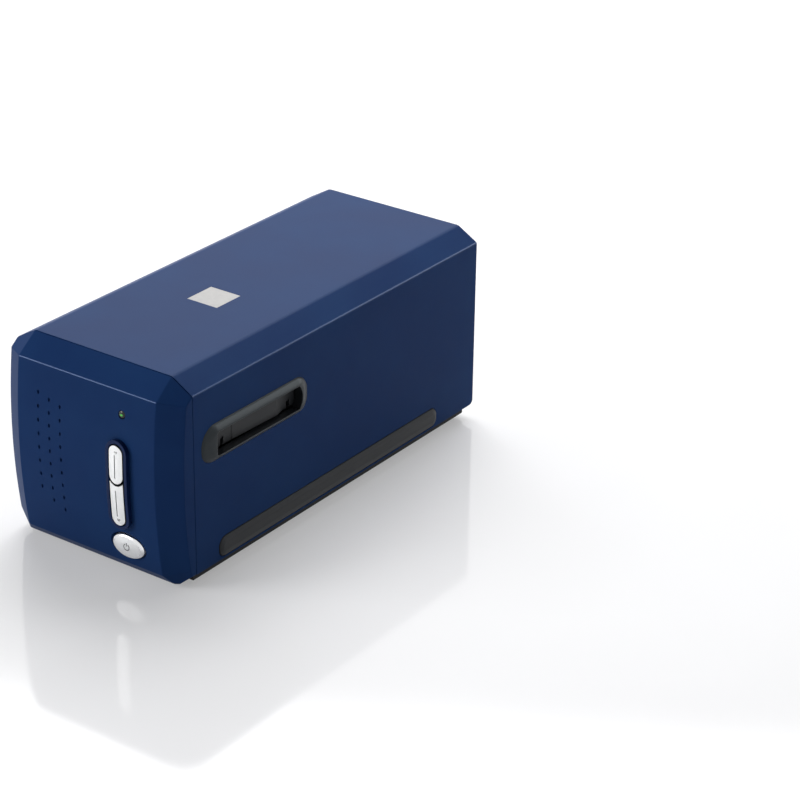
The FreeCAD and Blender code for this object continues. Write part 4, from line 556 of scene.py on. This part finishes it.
def bezel_block(inset, back, rows):
    run = half_width - face_half
    slant = math.hypot(run, side_depth)
    edge_x = face_half - inset * (slant - run) / side_depth
    edge_back = side_depth + inset * (slant - side_depth) / run
    low, high = bezel_low + inset, height - inset
    bm = bmesh.new()
    arc = bow_rows(bm, -edge_x, inset, low, high, rows)
    deep = back + 2 * side_depth
    left = bm.faces.new(arc + [bm.verts.new((-edge_x, deep, high)), bm.verts.new((-edge_x, deep, low))])
    right = push(bm, [left], Vector((2 * edge_x, 0, 0)), keep=True)
    push(bm, right, Vector((half_width - inset - edge_x, edge_back - inset, 0)))
    push(bm, [left], Vector((edge_x - half_width + inset, edge_back - inset, 0)))
    bmesh.ops.recalc_face_normals(bm, faces=bm.faces[:])
    trim_plane(bm, (0, back, 0), (0, 1, 0))
    middle, sides = facet_points()
    for points in middle:
        trim_beyond(bm, points, inset)
    for points in sides:
        trim_beyond(bm, points, inset)
        trim_beyond(bm, [(-x, y, z) for x, y, z in points], inset)
    bmesh.ops.remove_doubles(bm, verts=bm.verts[:], dist=0.02)
    return bm


bezel = bezel_block(0, seam_y - seam_gap, bow_steps)
soften(bezel, sharp_edges(bezel, 6, lambda m: m.y < seam_y - seam_gap - 0.1), bezel_round, 3)
# The edge between the face and the top facet is polished.
for face in bezel.faces:
    middle = face.calc_center_median()
    if abs(middle.x) < face_half and abs(middle.z - face_top) < 1.0 and 0.2 < face.normal.z < 0.75:
        face.material_index = 1
report("bezel block", bezel)

# %% [markdown]
# A collar stands on the face round the two scan buttons. It is a long capsule whose front follows the bow, so
# it is cut into rows first, and each front vertex is set on a bow that stands further out. Its faces carry
# the number of a finish of their own, which the union with the bezel keeps.

# %% Capsules that follow the bow
button_x = 23.2
button_half = 4.6
button_gap = 0.7
collar_rim = 1.8
collar_proud = 2.5
collar_round = 1.1


def capsule(x, half, low, high, y0, y1, segments=10):
    """An upright capsule. Its radius is just under the half width, so that no edge has length zero."""
    points = rectangle(x - half, x + half, low, high)
    return plate("xz", points, [half * 0.999] * 4, y0, y1, segments)


def bowed_front(bm, front, low, high, proud, crown=0.0, x=0.0, half=1.0):
    """Bends the flat front into the bow, with a crown from side to side where one is wanted."""
    slice_rows(bm, 2, low, high, 16)
    if crown:
        slice_rows(bm, 0, x - half, x + half, 6)
    for vert in bm.verts:
        if abs(vert.co.y - front) < 1e-4:
            across = (vert.co.x - x) / half
            vert.co.y = bow_y(vert.co.z) - proud - crown * (1 - across ** 2)


def front_rim(bm, limit):
    return sharp_edges(bm, 40, lambda m: m.y < limit)


collar_half = button_half + button_gap + collar_rim
upper_low, upper_high = 57.85, 79.95
lower_low = 33.15
collar_low = lower_low - button_gap - collar_rim
collar_high = upper_high + button_gap + collar_rim
collar = capsule(button_x, collar_half, collar_low, collar_high, far_front, front_y + 4.5, 12)
bowed_front(collar, far_front, collar_low, collar_high, collar_proud)
soften(collar, front_rim(collar, front_y - 0.5), collar_round, 4)
# The collar's faces take the third finish, whose darker navy is painted shade.
for face in collar.faces:
    face.material_index = 2

# %% Holes in the face
power_x, power_z = 25.6, 19.8
power_half_x, power_half_z = 10.9, 6.8
power_gap, power_ring_width, power_ring_depth = 0.45, 1.25, 1.0
lamp_x, lamp_z, lamp_radius, lamp_gap = 24.9, 96.3, 2.25, 0.1


def oval(grow, y0, y1):
    bm = bmesh.new()
    turn = Matrix.Translation((power_x, y0, power_z)) @ Matrix.Rotation(math.pi / 2, 4, "X")
    bmesh.ops.create_circle(bm, cap_ends=True, segments=64, radius=1.0, matrix=turn)
    bmesh.ops.scale(bm, vec=(power_half_x + grow, 1, power_half_z + grow), verts=bm.verts[:],
                    space=Matrix.Translation((-power_x, 0, -power_z)))
    push(bm, bm.faces[:], Vector((0, y1 - y0, 0)), keep=True)
    bmesh.ops.recalc_face_normals(bm, faces=bm.faces[:])
    return bm


window = capsule(button_x, button_half + button_gap, lower_low - button_gap, upper_high + button_gap,
                 far_front, front_y + beyond, 12)
oval_step = oval(power_ring_width, far_front, bow_y(power_z) + power_ring_depth)
oval_hole = oval(power_gap, far_front, front_y + beyond)
lamp_hole = bmesh.new()
lamp_turn = Matrix.Translation((lamp_x, front_y, lamp_z)) @ Matrix.Rotation(math.pi / 2, 4, "X")
bmesh.ops.create_cone(lamp_hole, cap_ends=True, segments=32, radius1=lamp_radius + lamp_gap,
                      radius2=lamp_radius + lamp_gap, depth=2 * beyond, matrix=lamp_turn)

# %% [markdown]
# The dimples are small upright pits in three slanting columns on the left half. Each is one stretched ball,
# sunk in the face by its own depth, and all of them are cut in one go.

# %% Dimples and the finished bezel
dimple_columns = [(-32.6, 92.7, 7.9, 8), (-25.0, 90.4, 7.4, 9), (-17.4, 88.4, 7.6, 9)]
dimple_form = (0.72, 1.0, 1.2)
dimples = bmesh.new()
for column_x, top_z, pitch, count in dimple_columns:
    for index in range(count):
        z = top_z - index * pitch
        ball = bmesh.ops.create_uvsphere(dimples, u_segments=16, v_segments=10, radius=1.0)["verts"]
        bmesh.ops.scale(dimples, vec=dimple_form, verts=ball)
        bmesh.ops.translate(dimples, vec=(column_x, bow_y(z) + 0.1, z), verts=ball)

bezel = boolean(bezel, [collar], "UNION")
inner = bezel_block(bezel_wall, seam_y + beyond, bow_steps)
bezel = boolean(bezel, [inner, window, oval_step, oval_hole, lamp_hole, dimples])
report("bezel with holes", bezel)
finish(bezel, "bezel_shell", [navy_abs, navy_edge, navy_collar_shade], "housing", ["front_bezel"], 28)

# %% [markdown]
# The trim round each slot is fully convex, like half a tube pressed flat, and its width changes from side to
# side. So two outlines with equal corner counts are bridged: the foot on the wall and a smaller one out at
# the crest. The bridge is cut into rows, and each row is lifted onto a gentle curve. The mouth is cut through
# it at the end.

# %% Slot trims
trim_proud = 3.0
neck_depth, neck_wall = 3.2, 1.1
sill_depth = 2.4
mouth_reach, mouth_round = 5.0, 0.3
ear_width, ear_inner, ear_outer, ear_low, ear_high = 2.6, 52.65, 57.2, 78.8, 89.3
foot_flanges = {"front": 9.7, "rear": 7.1, "low": 3.4, "top": 4.0}
crest_flanges = {"front": 0.5, "rear": 0.5, "low": 0.3, "top": 0.3}


def flange_points(flange):
    return rectangle(slot_front - flange["front"], slot_rear + flange["rear"], slot_low - flange["low"],
                     slot_top + flange["top"])


def domed_band(foot, foot_radii, crest, crest_radii, proud, rows):
    """A closed pad whose rim slopes from the foot outline to the crest, a little convex."""
    bm = outline("yz", foot, foot_radii, half_width, 10)
    outline("yz", crest, crest_radii, half_width + proud, 10, bm)
    bmesh.ops.bridge_loops(bm, edges=bm.edges[:])
    slopes = [e for e in bm.edges if abs(e.verts[0].co.x - e.verts[1].co.x) > proud / 2]
    bmesh.ops.subdivide_edges(bm, edges=slopes, cuts=rows, use_grid_fill=True)
    for vert in bm.verts:
        share = (vert.co.x - half_width) / proud
        if share > 0.01:
            vert.co.x = half_width + proud * (0.17 + 0.83 * (1 - max(0.0, 1 - share) ** 1.35))
    bmesh.ops.recalc_face_normals(bm, faces=bm.faces[:])
    return bm


def ear(y0, y1):
    """One of the two tabs behind the wall that carry the door's hinge pin."""
    return block(ear_inner, ear_outer, y0, y1, ear_low, ear_high)


trim = domed_band(flange_points(foot_flanges), [8.0, 8.0, 9.5, 11.0], flange_points(crest_flanges),
                  [1.8, 3.0, 3.0, 1.8], trim_proud, 9)
report("trim band", trim)
neck = slot_prism(neck_wall, half_width - neck_depth, half_width + 0.3)
mouth = slot_prism(0, half_width - neck_depth - mouth_reach, half_width + mouth_reach)
sill = block(half_width - neck_depth - mouth_reach, half_width - sill_depth, slot_front - 1, slot_rear + 1,
             slot_low - mouth_reach, slot_low + 0.2)
trim = boolean(boolean(trim, [neck], "UNION"), [mouth, sill])
soften(trim, sharp_edges(trim, 35, lambda m: m.x > half_width + 1.0), mouth_round, 3)
trim = boolean(trim, [ear(slot_front - ear_width, slot_front), ear(slot_rear, slot_rear + ear_width)],
               "UNION")
report("trim", trim)
finish(mirrored(trim), "trim_ring_left", [trim_abs], "housing", ["slot_trim_left"], 40)
finish(trim, "trim_ring_right", [trim_abs], "housing", ["slot_trim_right"], 40)

# %% [markdown]
# The dust door hangs behind the mouth: a thin leaf with a wedge on its middle that grows towards the lower
# edge, so that a film holder pushed against it swings it in. Two small notches in the lower edge have a thin
# lip each, and knuckles hold the leaf on the hinge pin.

# %% Dust doors
door_inner = 54.3
door_outer = 57.4
door_low = 72.9
wedge_front, wedge_crest, wedge_rear = -85.2, -48.4, -41.0
wedge_start, wedge_proud = 0.5, 1.9
hinge_x, hinge_z = 55.05, 87.1
knuckle_radius, pin_bore, knuckle_length = 1.5, 0.8, 6.0
leaf_gap = 0.5
notch_places, notch_half, notch_rise = (-93.2, -37.8), 0.8, 4.2
lip_width, lip_proud = 0.9, 0.8


def hinge_rod(radius, y0, y1, segments=20):
    bm = bmesh.new()
    turn = Matrix.Translation((hinge_x, (y0 + y1) / 2, hinge_z)) @ Matrix.Rotation(math.pi / 2, 4, "X")
    bmesh.ops.create_cone(bm, cap_ends=True, segments=segments, radius1=radius, radius2=radius, depth=y1 - y0,
                          matrix=turn)
    return bm


def wedge():
    """A ramp drawn in plan: it starts low in front, rises to its crest and drops to the leaf at the rear."""
    points = [(door_inner + 1, wedge_front), (door_inner + 1, wedge_rear), (door_outer - 0.1, wedge_rear),
              (door_outer + wedge_proud, wedge_crest), (door_outer + wedge_start, wedge_front + 0.5),
              (door_outer - 0.1, wedge_front)]
    bm = plate("xy", points, [0] * 6, door_low + 0.3, slot_top - 0.6)
    for vert in bm.verts:
        if vert.co.x > door_outer and vert.co.z > door_low + 1:
            vert.co.x = door_outer + 0.25 * (vert.co.x - door_outer)
    soften(bm, sharp_edges(bm, 15, lambda m: m.x > door_outer), 0.25, 3)
    return bm


def dust_door():
    front, rear = slot_front + leaf_gap, slot_rear - leaf_gap
    leaf = block(door_inner, door_outer, front, rear, door_low, slot_top - leaf_gap)
    soften(leaf, sharp_edges(leaf, 40, lambda m: m.x > door_outer - 0.01), 0.25, 2)
    parts = [wedge()]
    last = rear - knuckle_length
    for start in (front, (front + last) / 2, last):
        parts.append(hinge_rod(knuckle_radius, start, start + knuckle_length))
        parts.append(block(door_inner, hinge_x + 0.6, start, start + knuckle_length, slot_top - 1, hinge_z))
    cuts = [hinge_rod(pin_bore, front - 1, rear + 1)]
    for y in notch_places:
        notch = rectangle(y - notch_half, y + notch_half, door_low - 2, door_low + notch_rise)
        cuts.append(plate("yz", notch, [0, 0, 0.79, 0.79], door_inner - 1, door_outer + 1, 5))
        lip = rectangle(y + notch_half, y + notch_half + lip_width, door_low + 1.0,
                        door_low + notch_rise + 0.6)
        parts.append(plate("yz", lip, [0.3, 0.3, 0.44, 0.44], door_outer - 0.5, door_outer + lip_proud, 4))
    return boolean(boolean(leaf, parts, "UNION"), cuts)


door = dust_door()
finish(mirrored(door), "door_flap_left", [charcoal_abs], "left_door", ["dust_door_left"], 35)
finish(door, "door_flap_right", [charcoal_abs], "right_door", ["dust_door_right"], 35)

# %% [markdown]
# A long charcoal strip lies in a shallow pocket low on each side. It is crowned like the trim, with the thin
# dark line of the pocket's gap all round it.

# %% Side strips
strip_proud = strip_outer - half_width
crest_run, crest_rise = 3.0, 4.0
strip_crest = rectangle(-strip_half_length + crest_run, strip_half_length - crest_run, strip_low + crest_rise,
                        strip_high - crest_rise)
strip = domed_band(strip_outline(), strip_radii, strip_crest, [1.9] * 4, strip_proud, 7)
for vert in strip.verts:
    if abs(vert.co.x - half_width) < 1e-4:
        vert.co.x -= pocket_depth
finish(mirrored(strip), "strip_pad_left", [charcoal_abs], "housing", ["side_strip_left"], 40)
finish(strip, "strip_pad_right", [charcoal_abs], "housing", ["side_strip_right"], 40)

# %% [markdown]
# The two scan buttons share one window. The upper is a whole capsule, and the lower is hollowed at the top to
# hug it. Both follow the bow, with a slight crown and a fine groove along them.

# %% Scan buttons
button_proud = 2.75
button_between = 1.2
button_clearance = 0.15
button_crown = 0.5
button_round = 0.5
button_rear = front_y + 2.8
lower_blank_high = 66.0
groove_half, groove_sink = 0.3, 0.1
groove_outer_end, groove_upper_end, groove_lower_end = 5.4, 3.2, 4.0


def button_body(low, high):
    bm = capsule(button_x, button_half - button_clearance, low + button_clearance, high - button_clearance,
                 far_front, button_rear, 12)
    bowed_front(bm, far_front, low, high, button_proud - button_crown / 2, button_crown, button_x,
                button_half)
    return bm


def groove(low, high):
    """The cutter for the fine line along the button, a little to the left of its middle."""
    line = capsule(button_x - groove_half, groove_half, low, high, far_front, front_y - 2.45, 4)
    for vert in line.verts:
        if vert.co.y > far_front + 1:
            vert.co.y = bow_y(vert.co.z) - button_proud + groove_sink
    return line


# The dark flanks are painted shade for the gap round each cap, as well as the unlacquered moulding.
def flanks_dark_as_shade(bm):
    """Only the face of a cap is lacquered. Its flanks take the dark charcoal finish, partly as the bare
    moulding and partly as painted shade for the gap round the cap.
    """
    for face in bm.faces:
        if abs(face.normal.y) < 0.35:
            face.material_index = 1
    return bm


upper = button_body(upper_low, upper_high)
soften(upper, front_rim(upper, front_y - 1.5), button_round, 3)
upper = flanks_dark_as_shade(boolean(upper, [groove(upper_low + groove_upper_end, upper_high - groove_outer_end)]))
finish(upper, "upper_scan_cap", [button_lacquer, charcoal_abs], "upper_button", ["upper_scan_button"],
       40)

lower = button_body(lower_low, lower_blank_high)
lower = boolean(lower,
                [capsule(button_x, button_half + button_between, upper_low - button_between, upper_high,
                         far_front - 10, front_y + beyond, 12)])
soften(lower, front_rim(lower, front_y - 1.5), button_round, 3)
lower = flanks_dark_as_shade(boolean(lower, [groove(lower_low + groove_outer_end, upper_low - groove_lower_end)]))
finish(lower, "lower_scan_cap", [button_lacquer, charcoal_abs], "lower_button", ["lower_scan_button"],
       40)

# %% [markdown]
# The power button is an oval with a satin face and a bright polished rim. A profile spun once about the
# middle gives a round button, and scaling its width and height makes the oval. The rim takes the bright
# plating.

# %% Power button
power_front = bow_y(power_z) - 1.8
profile = [(0.0, -0.55), (0.35, -0.46), (0.62, -0.28), (0.80, -0.04), (0.845, 0.06), (0.90, 0.30),
           (0.95, 0.62), (0.985, 1.05), (1.0, 1.5), (1.0, 4.2)]


def turned(profile, start, steps):
    """Spins a profile of radii and depths once about the y axis and closes its rear."""
    bm = bmesh.new()
    rim = [bm.verts.new((radius, start + depth, 0)) for radius, depth in profile]
    lines = [bm.edges.new(pair) for pair in zip(rim, rim[1:])]
    bmesh.ops.spin(bm, geom=rim + lines, cent=(0, 0, 0), axis=(0, 1, 0), angle=math.tau, steps=steps,
                   use_merge=True, use_duplicate=False)
    bmesh.ops.remove_doubles(bm, verts=bm.verts[:], dist=1e-3)
    bmesh.ops.holes_fill(bm, edges=[e for e in bm.edges if e.is_boundary], sides=0)
    return bm


power = turned(profile, power_front + 0.55, 72)
for face in power.faces:
    middle = face.calc_center_median()
    face.material_index = 1 if 0.83 < math.hypot(middle.x, middle.z) and middle.y < power_front + 2.2 else 0
bmesh.ops.scale(power, vec=(power_half_x, 1, power_half_z), verts=power.verts[:])
bmesh.ops.translate(power, vec=(power_x, 0, power_z), verts=power.verts[:])
finish(power, "power_cap", [power_lacquer, bright_chrome], "power", ["power_button"], 40)

# %% [markdown]
# Thin dark ink marks the buttons: an open ring with a short stroke, the usual standby sign, on the power
# button, and a plain ring with a dot near the outer end of each scan button. Each is laid just on the face it
# is printed on.

# %% Printed signs
ink = grained_plastic("grey_pad_print", "#4c4e50", "#545658", 0.5, grain=0.8, depth=0.002)
ink_reach = 0.14
sign_from_end = 3.7


def sign_arc(inner, outer, gap, steps):
    bm = bmesh.new()
    start = [bm.verts.new((math.sin(gap) * r, 0, math.cos(gap) * r)) for r in (inner, outer)]
    edge = bm.edges.new(start)
    bmesh.ops.spin(bm, geom=start + [edge], cent=(0, 0, 0), axis=(0, 1, 0), angle=math.tau - 2 * gap,
                   steps=steps, use_merge=False, use_duplicate=False)
    return bm


def print_sign(bm, name, x, y, z, body):
    bmesh.ops.translate(bm, vec=(x, y, z), verts=bm.verts[:])
    push(bm, bm.faces[:], Vector((0, ink_reach, 0)), keep=True)
    finish(bm, name, [ink], body, [], 40)


sign = sign_arc(1.6, 2.05, 0.55, 40)
sign.faces.new([sign.verts.new(p) for p in ((-0.22, 0, 0.5), (0.22, 0, 0.5), (0.22, 0, 2.4),
                                            (-0.22, 0, 2.4))])
print_sign(sign, "standby_sign", power_x, power_front - 0.02, power_z, "power")
for name, z, body in (("upper_button_sign", upper_high - sign_from_end, "upper_button"),
                      ("lower_button_sign", lower_low + sign_from_end, "lower_button")):
    sign = sign_arc(0.62, 0.92, 0.9, 24)
    bmesh.ops.create_circle(sign, cap_ends=True, segments=12, radius=0.3,
                            matrix=Matrix.Rotation(math.pi / 2, 4, "X"))
    print_sign(sign, name, button_x + 0.4, bow_y(z) - button_proud - 0.27, z, body)

# %% [markdown]
# The status lamp is a small dome of dark tinted plastic. Its light comes from deep inside, so only a green
# spark near the middle shows, and the rim stays almost black.

# %% Status lamp
dome_profile = [(0.0, -0.35), (0.9, -0.27), (1.6, -0.08), (2.1, 0.2), (2.25, 0.45), (2.25, 3.5)]


def tinted_dome():
    material, tree, place = new_material("dark_tinted_lamp")
    centre = Vector((lamp_x * MM, bow_y(lamp_z) * MM, lamp_z * MM))
    local = add(tree, "ShaderNodeMapping", {"Location": -centre}, {"Vector": place})
    stretch = add(tree, "ShaderNodeMapping", {"Scale": (760, 0, 1300), "Rotation": (0, 0.7, 0)},
                  {"Vector": local.outputs["Vector"]})
    spark = add(tree, "ShaderNodeTexGradient", gradient_type="SPHERICAL",
                links={"Vector": stretch.outputs["Vector"]})
    tone = two_tone(tree, spark.outputs["Fac"], "#040c06", "#3fae3c", 0.05, 0.75)
    glow = add(tree, "ShaderNodeMath", {1: 0.5}, {0: spark.outputs["Fac"]}, operation="MULTIPLY")
    return close(material, tree, {"IOR": 1.49, "Roughness": 0.12, "Emission Color": colour("#4fc94a")},
                 {"Base Color": tone, "Emission Strength": glow.outputs["Value"]})


lamp = turned(dome_profile, 0, 32)
bmesh.ops.translate(lamp, vec=(lamp_x, bow_y(lamp_z), lamp_z), verts=lamp.verts[:])
finish(lamp, "lamp_dome", [tinted_dome()], "housing", ["status_lamp"], 40)

# %% [markdown]
# Pieces that are seen only from behind or below keep the form of their solids. A solid's mesh is loose
# triangles, so a copy is merged, its flat faces are joined again, and where a radius is given its edges get a
# small bevel before it is finished.

# %% Rear panel, tray, feet, sockets and label
def dressed_copy(node, name, material, radius, body="housing"):
    bm = bmesh.new()
    bm.from_mesh(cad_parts[node].data)
    bmesh.ops.scale(bm, vec=(1 / MM, 1 / MM, 1 / MM), verts=bm.verts[:])
    bmesh.ops.remove_doubles(bm, verts=bm.verts[:], dist=1e-3)
    bmesh.ops.dissolve_limit(bm, angle_limit=math.radians(1.0), verts=bm.verts[:], edges=bm.edges[:])
    if radius:
        soften(bm, sharp_edges(bm, 50), radius, 2)
    return finish(bm, name, [material], body, [node], 35)


dressed_copy("rear_panel", "rear_plate", base_abs, 0.25)
dressed_copy("base_tray", "tray_shell", base_abs, 0)
dressed_copy("rubber_feet", "foot_pads", foot_rubber, 0)
dressed_copy("usb_socket", "data_socket", plated_shell, 0)
dressed_copy("power_jack", "jack_socket", socket_black, 0)
dressed_copy("top_sticker", "bare_label", label_paper, 0.05)

# %% [markdown]
# Everything inside keeps its solid and gets the finish it would really have, because the doors open and the
# tunnel behind them can be looked into.

# %% Finishes of the inner pieces
inner_finishes = {
    matt_black_abs: ["lower_film_guide", "upper_film_guide", "scan_carriage", "upper_switch_plunger",
                     "lower_switch_plunger", "power_switch_plunger"],
    milky_acrylic: ["lamp_box", "lamp_diffuser"],
    board_green: ["lamp_board", "button_board", "sensor_board", "main_board"],
    zinc_sheet: ["chassis_plate", "idler_bracket"],
    ground_steel: ["guide_rod_left", "guide_rod_right", "door_pin_right", "door_pin_left",
                   "door_spring_right", "door_spring_left", "drive_stud", "belt_spring", "cover_screws",
                   "chassis_screws", "main_board_screws", "button_board_screws"],
    drawn_can: ["stepper_motor"],
    black_anodised: ["lens_barrel"],
    turned_brass: ["carriage_bushes", "motor_pinion"],
    gear_nylon: ["drive_gear", "idler_pulley"],
    belt_rubber: ["drive_belt"],
    chip_black: ["button_switches", "home_sensor", "board_parts"],
    mirror_glass: ["fold_mirror"],
    lens_glass: ["lens_glass"],
    ribbon_grey: ["button_ribbon"],
}
for material, nodes in inner_finishes.items():
    for node in nodes:
        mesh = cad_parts[node].data
        mesh.materials.clear()
        mesh.materials.append(material)
print("inner pieces finished:", sum(len(nodes) for nodes in inner_finishes.values()))

# %% [markdown]
# The scanner stands on a white laminate table that runs out of the picture on all sides, so it is also the
# background. Its gloss keeps a faint mirror image of the front. A share of plain white light is mixed in for
# rays that see the table directly, so it stays pale where it is in shade, and the light it spreads stays
# true.
#
# A very large soft lamp far behind on the left stands for a bright wall. It puts a sheen on the top. A
# softbox overhead gives the soft shadow, one on the left lights the front, and a small one behind on the
# right draws the thin line along the edge above the side. The world is white where it is seen and dim as a
# light.

# %% Table
def seen_directly(tree):
    """1 for rays from the camera and those that a mirror or a glass sends on, 0 for light that is spread."""
    ray = add(tree, "ShaderNodeLightPath")
    first = add(tree, "ShaderNodeMath",
                links={0: ray.outputs["Is Camera Ray"], 1: ray.outputs["Is Glossy Ray"]},
                operation="ADD", use_clamp=True)
    both = add(tree, "ShaderNodeMath",
               links={0: first.outputs["Value"], 1: ray.outputs["Is Transmission Ray"]},
               operation="ADD", use_clamp=True)
    return both.outputs["Value"]


table = bmesh.new()
bmesh.ops.create_grid(table, x_segments=1, y_segments=1, size=5.0)
table_top = to_object(table, "table_top")
white, tree, place = new_material("white_laminate")
haze = add(tree, "ShaderNodeTexNoise", {"Scale": per_metre(180.0), "Detail": 2.0}, {"Vector": place})
tone = two_tone(tree, haze.outputs["Fac"], "#eeeef0", "#f2f2f4")
laminate = add(tree, "ShaderNodeBsdfPrincipled",
               {"IOR": 1.5, "Roughness": 0.08, "Specular IOR Level": 0.3}, {"Base Color": tone})
glow = add(tree, "ShaderNodeEmission", {"Color": colour("#ffffff"), "Strength": 1.0})
lift = add(tree, "ShaderNodeMath", {1: 0.32}, {0: seen_directly(tree)}, operation="MULTIPLY")
lifted = add(tree, "ShaderNodeMixShader",
             links={0: lift.outputs["Value"], 1: laminate.outputs["BSDF"], 2: glow.outputs["Emission"]})
add(tree, "ShaderNodeOutputMaterial", links={"Surface": lifted.outputs["Shader"]})
table_top.data.materials.append(white)


# %% Lamps and world
def soft_lamp(name, place, aim, size, watts):
    lamp = bpy.data.lights.new(name, "AREA")
    lamp.shape = "RECTANGLE"
    lamp.size, lamp.size_y = size
    lamp.energy = watts
    obj = bpy.data.objects.new(name, lamp)
    obj.location = place
    obj.rotation_euler = (Vector(aim) - Vector(place)).to_track_quat("-Z", "Y").to_euler()
    bpy.context.collection.objects.link(obj)


soft_lamp("back_wall", (-2.1, 2.99, 1.63), (0, 0, 0), (4.5, 2.6), 50)
soft_lamp("overhead_softbox", (-0.416, 0.736, 1.36), (0, 0, 0.05), (1.2, 1.2), 24)
soft_lamp("left_softbox", (-0.78, -1.0, 0.56), (0, 0, 0.05), (0.7, 0.7), 8.5)
soft_lamp("edge_softbox", (0.80, 1.19, 0.74), (0, 0, 0.05), (0.8, 0.9), 6)

world = bpy.data.worlds.new("studio")
bpy.context.scene.world = world
world.use_nodes = True
sky = world.node_tree
sky.nodes.clear()
dim_room = add(sky, "ShaderNodeBackground", {"Color": colour("#e6e8ec"), "Strength": 0.1})
white_room = add(sky, "ShaderNodeBackground", {"Color": colour("#ffffff"), "Strength": 1.0})
room = add(sky, "ShaderNodeMixShader",
           links={0: seen_directly(sky), 1: dim_room.outputs["Background"],
                  2: white_room.outputs["Background"]})
add(sky, "ShaderNodeOutputWorld", links={"Surface": room.outputs["Shader"]})

# %% [markdown]
# The camera was fitted to the box's own edges: it looks down and from the right of the front, with a long
# lens.

# %% Camera
azimuth, elevation, roll = 0.6158, 0.4544, 0.0153
shift_right, shift_up, distance = -85.0763, -40.63, 1447.2354
back = Vector((math.sin(azimuth) * math.cos(elevation), -math.cos(azimuth) * math.cos(elevation),
               math.sin(elevation)))
right = Vector((math.cos(azimuth), math.sin(azimuth), 0))
up = back.cross(right)
turned_right = right * math.cos(roll) + up * math.sin(roll)
turned_up = up * math.cos(roll) - right * math.sin(roll)
place = turned_right * -shift_right + turned_up * -shift_up + back * distance + Vector((0, 1.5, 0))
camera_data = bpy.data.cameras.new("camera")
camera_data.sensor_width = 36.0
camera_data.lens = 114.2998
camera_data.clip_end = 50.0
camera = bpy.data.objects.new("camera", camera_data)
camera.matrix_world = (Matrix.Translation(place * MM)
                       @ Matrix((turned_right, turned_up, back)).transposed().to_4x4())
bpy.context.collection.objects.link(camera)
bpy.context.scene.camera = camera
bpy.context.scene.view_settings.view_transform = "Standard"
